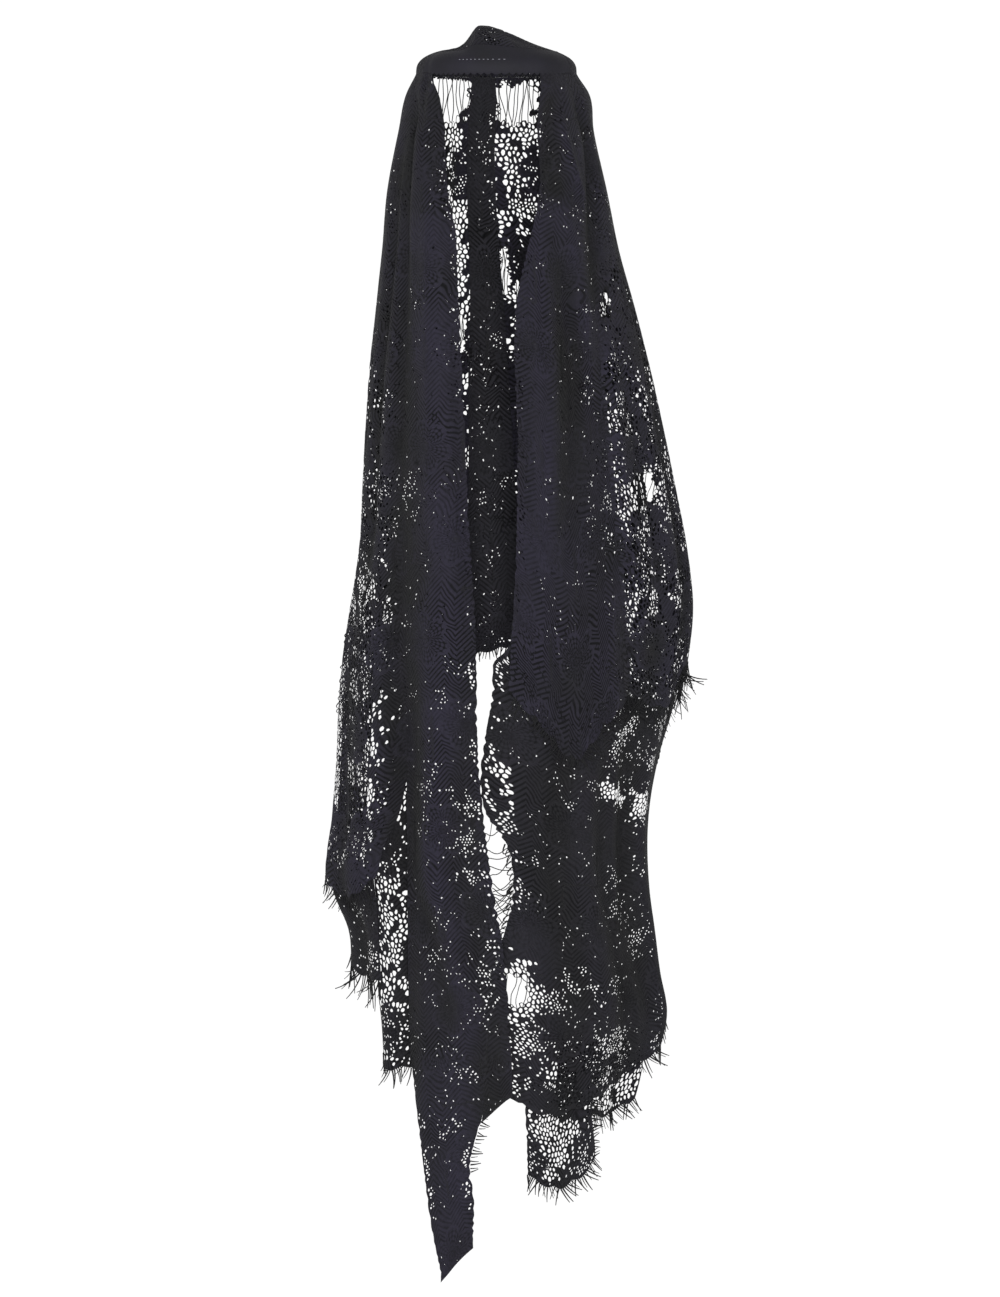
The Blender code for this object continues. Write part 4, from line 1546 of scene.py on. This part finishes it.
def grid_object(name, grid, material):
    """A sheet of quads through a grid of places, facing out, with its flat places stored."""
    rows, columns = grid.shape[:2]
    index = np.arange(rows * columns).reshape(rows, columns)
    faces = np.stack([index[:-1, :-1], index[1:, :-1], index[1:, 1:], index[:-1, 1:]], axis=-1)
    across = np.cumsum(np.linalg.norm(np.diff(grid, axis=1, prepend=grid[:, :1]), axis=-1), axis=1)
    down = np.cumsum(np.linalg.norm(np.diff(grid, axis=0, prepend=grid[:1]), axis=-1), axis=0)
    flat = np.stack([across, -down, 0 * down], axis=-1)
    places, faces = grid.reshape(-1, 3), faces.reshape(-1, 4).tolist()
    obj = add_object(name, places, [], faces, flat=flat.reshape(-1, 3))
    obj.data.materials.append(material)
    obj.data.shade_smooth()
    return obj, float(across[:, -1].max()), float(down[-1].max())


def outward(grid):
    """Outward directions at a grid's places."""
    normal = np.cross(np.gradient(grid, axis=0), np.gradient(grid, axis=1))
    return normal / np.linalg.norm(normal, axis=-1, keepdims=True)


def band_grid():
    """The band's places: from its top edge down to the rim, from left to right."""
    arcs = np.interp([BAND_TOP, 1.0], crown_shares, crown_arcs)
    share = np.interp(np.linspace(*arcs, BAND_ROWS), crown_arcs, crown_shares)[:, None]
    angle = np.linspace(-BAND_REACH, BAND_REACH, BAND_COLUMNS)[None, :]
    grid = crown_surface(angle, share, False)
    grid = grid + outward(grid) * SEAT
    inner = ease((1 - np.abs(angle) / BAND_REACH) / BAND_END)
    wave = np.abs(np.cos(math.pi * angle / BAND_SCALLOP_TURN))
    drop = inner * (BAND_DROP + BAND_SCALLOP * wave)
    down = np.stack([0 * drop, 0 * drop, drop], axis=-1)
    hem = [grid[-1:] - down * step / BAND_HEM_ROWS for step in range(1, BAND_HEM_ROWS + 1)]
    return np.concatenate([grid, *hem])


print("band's middle, top and hem:", np.round(band_grid()[[0, -1], BAND_COLUMNS // 2], 1).tolist())

# %% [markdown]
# ## Fringe, loops and loose threads
#
# Raschel lace is cut free with its edge threads left long, so its hems have a fringe like
# eyelashes. One strand is drawn in a tree and set along each hem, leaning, longer and shorter.
# The same tree makes the small loops of the side edges. Loose threads cross the long gaps.

# %% A tube along a line
STRAND_RADIUS = 0.85
LOOSE_RADIUS = 0.5
TAPER = 0.55
# The least and the most that a strand turns about its own axes, in radians
LEAST_LEAN, MOST_LEAN = (-0.25, -0.5, 0.0), (0.25, 0.5, 0.0)


def tube(graph, curve, radius):
    """A thin square tube along curves, finer towards the end of each."""
    share = graph.value(graph.add("GeometryNodeSplineParameter"), "Factor")
    ring = graph.add("GeometryNodeCurvePrimitiveCircle", inputs={"Resolution": 4, "Radius": 1.0})
    thickness = (1.0 - share * TAPER) * radius
    inputs = {"Curve": curve, "Profile Curve": ring.outputs[0], "Scale": thickness}
    return graph.add("GeometryNodeCurveToMesh", inputs=inputs).outputs[0]


print("a strand ends at", round(1 - TAPER, 2), "of its thickness")

# %% The fringe tree
def fringe_tree():
    """Sets leaning strands, or loops, along a path that keeps its own directions."""
    graph, source, result = geometry_tree(
        "fringe",
        Spacing=("Float", 0.003),
        Radius=("Float", 0.0005),
        Middle=("Vector", (0, 0, 0.006)),
        End=("Vector", (0, 0, 0.012)),
        Unevenness=("Float", 0.35),
        Seed=("Int", 0),
        Material=("Material", None),
    )
    named = source.outputs
    strand = graph.add(
        "GeometryNodeCurveQuadraticBezier",
        inputs={"Resolution": 6, "Start": (0, 0, 0), "Middle": named["Middle"], "End": named["End"]},
    )
    strand = tube(graph, strand.outputs[0], graph.value(source, "Radius"))
    path = graph.add("GeometryNodeMeshToCurve", inputs={"Mesh": named["Geometry"]})
    inputs = {"Curve": path.outputs[0], "Length": named["Spacing"]}
    stations = graph.add("GeometryNodeResampleCurve", {"mode": "LENGTH"}, inputs)
    fall = attribute(graph, "fall", "FLOAT_VECTOR").outputs[0]
    along = attribute(graph, "along", "FLOAT_VECTOR").outputs[0]
    turn = graph.add("FunctionNodeAlignRotationToVector", {"axis": "Z"}, {"Vector": fall})
    inputs = {"Rotation": turn.outputs[0], "Vector": along}
    turn = graph.add("FunctionNodeAlignRotationToVector", {"axis": "X", "pivot_axis": "Z"}, inputs)
    inputs = {0: LEAST_LEAN, 1: MOST_LEAN, "Seed": named["Seed"]}
    lean = graph.add("FunctionNodeRandomValue", {"data_type": "FLOAT_VECTOR"}, inputs)
    sway = graph.add(
        "ShaderNodeVectorMath",
        {"operation": "SCALE"},
        {0: lean.outputs[0], "Scale": graph.value(source, "Unevenness") * 2.0},
    )
    bend = graph.add("FunctionNodeEulerToRotation", inputs={0: sway.outputs[0]})
    inputs = {0: turn.outputs[0], 1: bend.outputs[0]}
    turn = graph.add("FunctionNodeRotateRotation", {"rotation_space": "LOCAL"}, inputs)
    seed = graph.value(source, "Seed") + 7.0
    spread = graph.value(source, "Unevenness")
    inputs = {2: 1.0 - spread, 3: 1.0 + spread * 0.6, "Seed": seed}
    scale = graph.add("FunctionNodeRandomValue", {"data_type": "FLOAT"}, inputs)
    strands = graph.add(
        "GeometryNodeInstanceOnPoints",
        inputs={
            "Points": stations.outputs[0],
            "Instance": strand,
            "Rotation": turn.outputs[0],
            "Scale": scale.outputs[1],
        },
    )
    real = graph.add("GeometryNodeRealizeInstances", inputs={"Geometry": strands.outputs[0]})
    finish_tree(graph, real.outputs[0], source, result)
    return graph.tree


fringe_maker = fringe_tree()
print("nodes in the fringe tree:", len(fringe_maker.nodes))

# %% The thread tree
def thread_tree():
    """Gives a thread's thickness to every line of a mesh of edges."""
    graph, source, result = geometry_tree(
        "threads", Radius=("Float", 0.0004), Material=("Material", None)
    )
    path = graph.add("GeometryNodeMeshToCurve", inputs={"Mesh": source.outputs["Geometry"]})
    inputs = {"Resolution": 4, "Radius": source.outputs["Radius"]}
    ring = graph.add("GeometryNodeCurvePrimitiveCircle", inputs=inputs)
    inputs = {"Curve": path.outputs[0], "Profile Curve": ring.outputs[0], "Fill Caps": True}
    thread = graph.add("GeometryNodeCurveToMesh", inputs=inputs)
    finish_tree(graph, thread.outputs[0], source, result)
    return graph.tree


thread_maker = thread_tree()
print("nodes in the thread tree:", len(thread_maker.nodes))

# %% [markdown]
# ## Where the fringe grows
#
# Each hem has strands of its own length and lean, read from the photograph. The strands start on
# the scalloped edge itself and follow the cloth's own directions there, so they hang from every
# hem in the same way. Strands set by hand would take hundreds of places.

# %% Paths for the fringe
# Columns: name, stretch, start and end as shares across and down, middle and end of one strand
# (along the edge, out from the cloth, away from the edge), spacing
FRINGES = [
    ("left_side_fringe", "left_side_fall", (0.2, 1), (1.0, 1), (-1, 0, 9), (-5, 0, 18), 2.7),
    ("left_under_fringe", "left_under_fall", (0.0, 1), (1.0, 1), (-4, 0, 14), (-15, 0, 26), 2.8),
    ("left_net_fringe", "left_net_fall", (0.0, 1), (1.0, 1), (-1, 0, 8), (-6, 0, 17), 2.6),
    ("back_fringe", "back_fall", (0.02, 1), (0.98, 1), (1, 0, 6), (2, 0, 12), 2.9),
    ("right_side_fringe", "right_side_fall", (0.0, 1), (1.0, 1), (-1, 0, 15), (7, 0, 31), 2.6),
    ("right_under_fringe", "right_under_fall", (0.66, 1), (1.0, 1), (2, 0, 9), (6, 0, 18), 2.6),
    ("right_lower_fringe", "right_lower_fall", (0.0, 1), (1.0, 1), (1, 0, 8), (3, 0, 17), 2.6),
    ("right_flap_fringe", "right_flap", (0.0, 1), (1.0, 1), (1, 0, 7), (4, 0, 15), 2.5),
]
# Side edges with small loops or short strands, which are too fine for the walls
EDGE_THREADS = [
    ("flap_edge", "right_flap", (1.0, 0.98), (1.0, 0.3), (2, 0, 6), (3, 0, 12), 3.4),
    ("side_loops", "right_under_fall", (1.0, 0.36), (1.0, 0.12), (3, 0, 17), (8, 0, 1), 6.0),
    ("tail_edge", "left_tail", (1.0, 0.6), (1.0, 0.2), (1, 0, 5), (3, 0, 10), 4.0),
    ("left_side_loops", "left_under_fall", (0.0, 0.5), (0.0, 0.9), (3, 0, 8), (6, 0, 1), 6.0),
    ("motif_hem", "right_front_fall", (0.03, 1), (0.97, 1), (1, 0, 6), (3, 0, 14), 2.5),
    ("left_outline_loops", "left_side_fall", (0.42, 0.7), (0.44, 0.8), (3, 7, 4), (7, 1, 0), 7.0),
    ("under_edge_loops", "right_under_fall", (0.0, 0.47), (0.0, 0.74), (4, 0, 16), (8, 0, 1), 6.5),
]
# How much a strand's own weight turns it down
WEIGHT = 0.35
PATH_STEP = 0.004


def chain(first, count):
    """The edges that join a run of places, one to the next."""
    return [(index, index + 1) for index in range(first, first + count - 1)]


def edge_path(flat, start, end, count=160):
    """Places along a hem or side edge, with the ways along it and out from the cloth's edge."""
    share = np.linspace(start[0], end[0], count)
    down = np.linspace(start[1], end[1], count)
    if start[1] == end[1] == 1:
        down = down + scallops(flat, (share - 0.5) * flat.width(1.0)) / flat.length
    stretch = flat.stretch
    places = surface(stretch, share, down)
    before, after = surface(stretch, share - PATH_STEP, down), surface(stretch, share + PATH_STEP, down)
    above, below = surface(stretch, share, down - PATH_STEP), surface(stretch, share, down + PATH_STEP)
    out = np.cross(below - above, after - before)
    along = np.gradient(places, axis=0)
    fall = np.cross(along, out)
    fall /= np.linalg.norm(fall, axis=1, keepdims=True)
    fall[:, 2] -= WEIGHT
    along /= np.linalg.norm(along, axis=1, keepdims=True)
    return places, along, fall / np.linalg.norm(fall, axis=1, keepdims=True)


def make_fringe(row, seed):
    """Grows one row of strands or loops."""
    name, stretch, start, end, middle, tip, spacing = row
    places, along, fall = edge_path(flats[stretch], start, end)
    edges = chain(0, len(places))
    obj = add_object(name + "_threads", places, edges, [], along=along, fall=fall)
    values = {
        "Spacing": spacing * MM,
        "Radius": STRAND_RADIUS * MM,
        "Middle": tuple(part * MM for part in middle),
        "End": tuple(part * MM for part in tip),
        "Seed": seed,
        "Material": finishes["fringe"],
    }
    return grow(obj, fringe_maker, **values)


print("fringed hems:", len(FRINGES), "edges:", len(EDGE_THREADS))

# %% [markdown]
# ## Loose threads
#
# In a few long gaps the ground is missing and single threads run across. Each one is a short
# line of places on the cloth, swaying and leaning by chance, that the thread tree thickens. The
# gaps are placed as they are seen from the front, so a place has to be found again on the cloth.

# %% Loose threads
THREAD_PLACES = 9
THREAD_SWAY, THREAD_LEAN, THREAD_SHIFT = (0.6, 2.4), (-3, 3), (-0.25, 0.25)
# Threads across the low gap. Their heights are spread at first, then close, then spread again
GAP_HEIGHTS = [*np.arange(-858, -915, -9), *np.arange(-918, -952, -3.2), -958, -969, -981]
GAP_DROP, GAP_SAG = (-14, 22), (2, 9)
# A side stretch turns away at this angle, and only the part before it shows
SIDE_TURN = 92
HIDDEN = 1000


def seen_place(stretch, x, z):
    """The place on a stretch that stands at x and z in the front view."""
    share = np.linspace(0, 1, 401)
    _, top, _ = lay(stretch, share, 0.0)
    _, low, _ = lay(stretch, share, 1.0)
    down = (top - z) / (top - low)
    angle, _, _ = lay(stretch, share, down)
    places = surface(stretch, share, down)
    away = np.abs(places[:, 0] - x)
    if "side" in stretch.name:
        away = away + np.where(angle > SIDE_TURN, HIDDEN, 0)
    return places[np.argmin(away)]


def make_loose_threads(name, seed):
    """Wavy threads across the long gaps of one stretch."""
    random = np.random.default_rng(seed)
    places, edges = [], []
    for left, right, high, low, count in THREAD_WINDOWS[name]:
        for number in range(count):
            x = left + (right - left) * (number + 0.5 + random.uniform(*THREAD_SHIFT)) / count
            sway = random.uniform(*THREAD_SWAY)
            turn = random.uniform(0, FULL_TURN)
            lean = random.uniform(*THREAD_LEAN)
            heights = np.linspace(min(high + 3, RIM - 1), low - 3, THREAD_PLACES)
            edges += chain(len(places), THREAD_PLACES)
            for step, height in enumerate(heights):
                wave = sway * math.sin(turn + step * 0.7) + lean * (step / 4 - 1)
                places.append(seen_place(NAMED[name], x + wave, height))
    obj = add_object(name + "_loose_threads", places, edges, [])
    return grow(obj, thread_maker, Radius=LOOSE_RADIUS * MM, Material=finishes["fringe"])


def edge_place(name, share, height):
    """The place on one side edge of a stretch at a height."""
    stretch = NAMED[name]
    _, (top, bottom), _ = lay(stretch, share, np.array([0.0, 1.0]))
    return surface(stretch, share, (top - height) / (top - bottom))


def make_gap_threads(seed):
    """Curved threads from the left front's edge to the layer behind it, across the low gap."""
    random = np.random.default_rng(seed)
    places, edges = [], []
    for height in GAP_HEIGHTS:
        start = edge_place("left_front_fall", 1.0, height)
        end = edge_place("right_under_fall", 0.0, height + random.uniform(*GAP_DROP))
        sag = random.uniform(*GAP_SAG)
        edges += chain(len(places), THREAD_PLACES)
        for share in np.linspace(-0.08, 1.08, THREAD_PLACES):
            place = start + (end - start) * share
            place[2] -= sag * math.sin(math.pi * min(max(share, 0), 1))
            places.append(place)
    obj = add_object("low_gap_threads", places, edges, [])
    return grow(obj, thread_maker, Radius=LOOSE_RADIUS * MM, Material=finishes["fringe"])


print("stretches with loose threads:", list(THREAD_WINDOWS))

# %% [markdown]
# ## Stitches and loops at the band
#
# Short paler stitches show along the middle of the band, and small loops of thread hang from it
# over the face. Both are lines of places on the band and the rim that the thread tree thickens.

# %% Stitches and loops
# The stitches' place as a share down the band, and how far they stand out of it
STITCH_HEIGHT, STITCH_LIFT = 0.42, 0.35
# Spans are in degrees from the face
STITCH_SPAN = (-24.0, 4.0)
STITCHES, STITCH_TURN, STITCH_RADIUS = 11, 0.5, 0.38
LOOP_SPAN = (-36.0, 24.0)
LOOPS, LOOP_DROP, LOOP_RADIUS = 13, 8.0, 0.55
# Half a loop's width, as a share of the way from one loop to the next
LOOP_HALF = 0.55


def make_stitches():
    """A row of short running stitches along the band's middle."""
    grid = band_grid()
    row = round(STITCH_HEIGHT * (len(grid) - 1))
    line = grid[row] + outward(grid)[row] * STITCH_LIFT
    angles = np.linspace(-BAND_REACH, BAND_REACH, BAND_COLUMNS)
    places, edges = [], []
    for middle in np.linspace(*STITCH_SPAN, STITCHES):
        edges += chain(len(places), 3)
        for angle in np.linspace(middle - STITCH_TURN, middle + STITCH_TURN, 3):
            places.append([np.interp(angle, angles, line[:, axis]) for axis in range(3)])
    obj = add_object("band_stitches", places, edges, [])
    return grow(obj, thread_maker, Radius=STITCH_RADIUS * MM, Material=finishes["stitches"])


def make_band_loops():
    """Small loops of thread that hang under the band, over the face."""
    places, edges = [], []
    for middle in np.linspace(*LOOP_SPAN, LOOPS):
        half = LOOP_HALF * (LOOP_SPAN[1] - LOOP_SPAN[0]) / LOOPS
        edges += chain(len(places), THREAD_PLACES)
        for turn in np.linspace(0, math.pi, THREAD_PLACES):
            edge = cloth(middle - half * math.cos(turn), RIM)
            edge[2] -= LOOP_DROP * math.sin(turn) * (0.8 + 0.3 * steady(middle, 1, 5)) - 0.5
            places.append(edge)
    obj = add_object("band_loops", places, edges, [])
    return grow(obj, thread_maker, Radius=LOOP_RADIUS * MM, Material=finishes["fringe"])


print("stitches:", STITCHES, "loops under the band:", LOOPS)

# %% [markdown]
# ## Making the pieces
#
# Everything meets here. Each stretch is strewn with places, joined into triangles, laid on the worn form
# and turned into lace. It then rides on the body in place of its wall in the frame, which is hidden, and
# its flat size and the area of its thread are printed.

# %% How a piece is made and put in place of its wall
# A seed for each kind of piece, so that its chances stay the same when another piece changes
CROWN_SEED, LACE_SEED, FRINGE_SEED, EDGE_SEED, LOOSE_SEED, GAP_SEED = 10, 11, 31, 51, 71, 81


def make_lace(flat, material, seed):
    """Makes one stretch of lace from its flat size."""
    stretch = flat.stretch
    outline = outline_of(flat)
    found, faces = triangulate(outline, strew(flat, seed))
    x, y = found.T
    share, below = flat.shares(x, y)
    places = surface(stretch, share, below)
    on_outline = np.arange(len(x)) < len(outline)
    to_hem = y + flat.length + scallops(flat, x)
    free = free_sides(flat, share, below)
    to_side = np.where(free, to_sides(flat, x, below), FAR_FROM_EDGE)
    hole = holes(stretch, x, y, places, on_outline, to_hem, to_side, seed)
    angle, height, _ = lay(stretch, share, below)
    # Painted light: ridges of the creases get violet sheen in the finish, valleys the neutral grey of
    # painted shade
    lift = ease(0.6 + crease(angle, height) / 18)
    obj = add_object(
        stretch.name + "_lace", places, [], faces,
        hole=hole, flat=np.stack([x, y, 0 * x], axis=1), petal=petal_place(x, y), lift=lift,
    )
    return grow(obj, lace_net, Material=material)


def area_of(obj):
    """The surface of a mesh in square metres."""
    return sum(face.area for face in obj.data.polygons)


def declare(obj, node, flat):
    """Rides a sheet on the body, hides the plain wall of the node it stands for, and prints its flat
    size, area and faces.
    """
    width, length = flat
    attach(obj, "root")
    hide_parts(node)
    area = min(area_of(obj), width * length)
    shown = [round(side, 3) for side in flat]
    print(obj.name, "flat", shown, "area", round(area, 4), "faces", len(obj.data.polygons))


def add_thread_piece(obj, node=None):
    """Rides a piece of threads on the body, in the fringe's finish."""
    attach(obj, "root")
    if node:
        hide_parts(node)
    print(obj.name, "faces", len(obj.data.polygons))
    return obj


print("seeds:", CROWN_SEED, "to", GAP_SEED)

# %% The crown and the band
pieces = {}
pieces["crown"] = make_crown(finishes["lace_outer"], CROWN_SEED)
declare(pieces["crown"], "crown", (2 * CROWN_REACH * MM,) * 2)
band, band_width, band_height = grid_object("front_band_cloth", band_grid(), finishes["band"])
stitches, loops = make_stitches(), make_band_loops()
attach(stitches, "root")
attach(loops, "root")
band_size = (band_width * MM, band_height * MM)
declare(band, "front_band", band_size)

# %% The stretches of lace
for number, flat in enumerate(flats.values()):
    stretch = flat.stretch
    # The back pleat takes the copy of the lace that is painted lighter
    finish = "lace_fold_painted_lighter" if stretch.name == "back_pleat" else stretch.slot
    piece = make_lace(flat, finishes[finish], LACE_SEED + number)
    pieces[stretch.name] = piece
    size = (float(flat.widths.max()) * MM, flat.length * MM)
    declare(piece, stretch.name, size)

# %% [markdown]
# ## Threads at the edges and in the gaps
#
# The fringe strips take the place of the frame's plain ones. The loops and the loose threads are
# too fine for any wall, so they only ride on the body. They come last, as they hang on the lace.

# %% Thread pieces
for number, row in enumerate(FRINGES):
    add_thread_piece(make_fringe(row, FRINGE_SEED + number), row[0])
for number, row in enumerate(EDGE_THREADS):
    add_thread_piece(make_fringe(row, EDGE_SEED + number))
for number, name in enumerate(THREAD_WINDOWS):
    add_thread_piece(make_loose_threads(name, LOOSE_SEED + number))
add_thread_piece(make_gap_threads(GAP_SEED))

# %% [markdown]
# ## Floor, light and camera
#
# The photograph has a plain white background and even light. The veil hangs above a pale floor,
# in a white world with two large soft lamps, and a long lens far away keeps its lines straight.

# %% Stage
# In metres, apart from the sensor's height in millimetres
FLOOR_HEIGHT, FLOOR_RADIUS = -1.47, 3.5
PICTURE_HEIGHT = 1.427
PICTURE_MIDDLE = (0.0033, -0.656)
CAMERA_DISTANCE, SENSOR_HEIGHT = 16.0, 24.0
WORLD_LIGHT = 1.02
# Columns: name, place, width, power in watts
LAMPS = [
    ("key lamp", (-2.0, -4.2, 1.2), 2.2, 90),
    ("face lamp", (0.1, -5.2, -0.62), 1.2, 520),
]


def plain_material(name, colour, roughness):
    """A plain material for the stage."""
    material = bpy.data.materials.new(name)
    material.use_nodes = True
    shader = material.node_tree.nodes["Principled BSDF"]
    shader.inputs["Base Color"].default_value = (*colour, 1.0)
    shader.inputs["Roughness"].default_value = roughness
    return material


def add_floor():
    """A wide round floor, below the veil's lowest point."""
    turns = np.linspace(0, 2 * math.pi, 96, endpoint=False)
    x, y = FLOOR_RADIUS * np.cos(turns), FLOOR_RADIUS * np.sin(turns)
    rim = np.stack([x, y, 0 * turns + FLOOR_HEIGHT], axis=1)
    floor = add_object("floor", rim / MM, [], [list(range(len(turns)))])
    floor.data.materials.append(plain_material("pale floor", (0.93, 0.93, 0.93), 0.9))
    return floor


def add_lamp(name, place, size, power):
    """A large soft lamp that looks at the veil's middle."""
    light = bpy.data.lights.new(name, "AREA")
    light.energy = power
    light.size = size
    lamp = bpy.data.objects.new(name, light)
    bpy.context.scene.collection.objects.link(lamp)
    lamp.location = place
    aim = Vector((0, 0, PICTURE_MIDDLE[1])) - Vector(place)
    lamp.rotation_euler = aim.to_track_quat("-Z", "Y").to_euler()
    return lamp


add_floor()
for row in LAMPS:
    add_lamp(*row)
world = bpy.data.worlds.new("white world")
bpy.context.scene.world = world
world.use_nodes = True
world.node_tree.nodes["Background"].inputs["Color"].default_value = (1, 1, 1, 1)
world.node_tree.nodes["Background"].inputs["Strength"].default_value = WORLD_LIGHT
bpy.context.scene.view_settings.view_transform = "Standard"

lens = bpy.data.cameras.new("camera")
lens.sensor_fit = "VERTICAL"
lens.sensor_height = SENSOR_HEIGHT
lens.lens = SENSOR_HEIGHT * CAMERA_DISTANCE / PICTURE_HEIGHT
lens.clip_end = 60.0
camera = bpy.data.objects.new("camera", lens)
bpy.context.scene.collection.objects.link(camera)
camera.location = (PICTURE_MIDDLE[0], -CAMERA_DISTANCE, PICTURE_MIDDLE[1])
camera.rotation_euler = (math.radians(90), 0, 0)
bpy.context.scene.camera = camera
print("lens", round(lens.lens, 1), "mm")
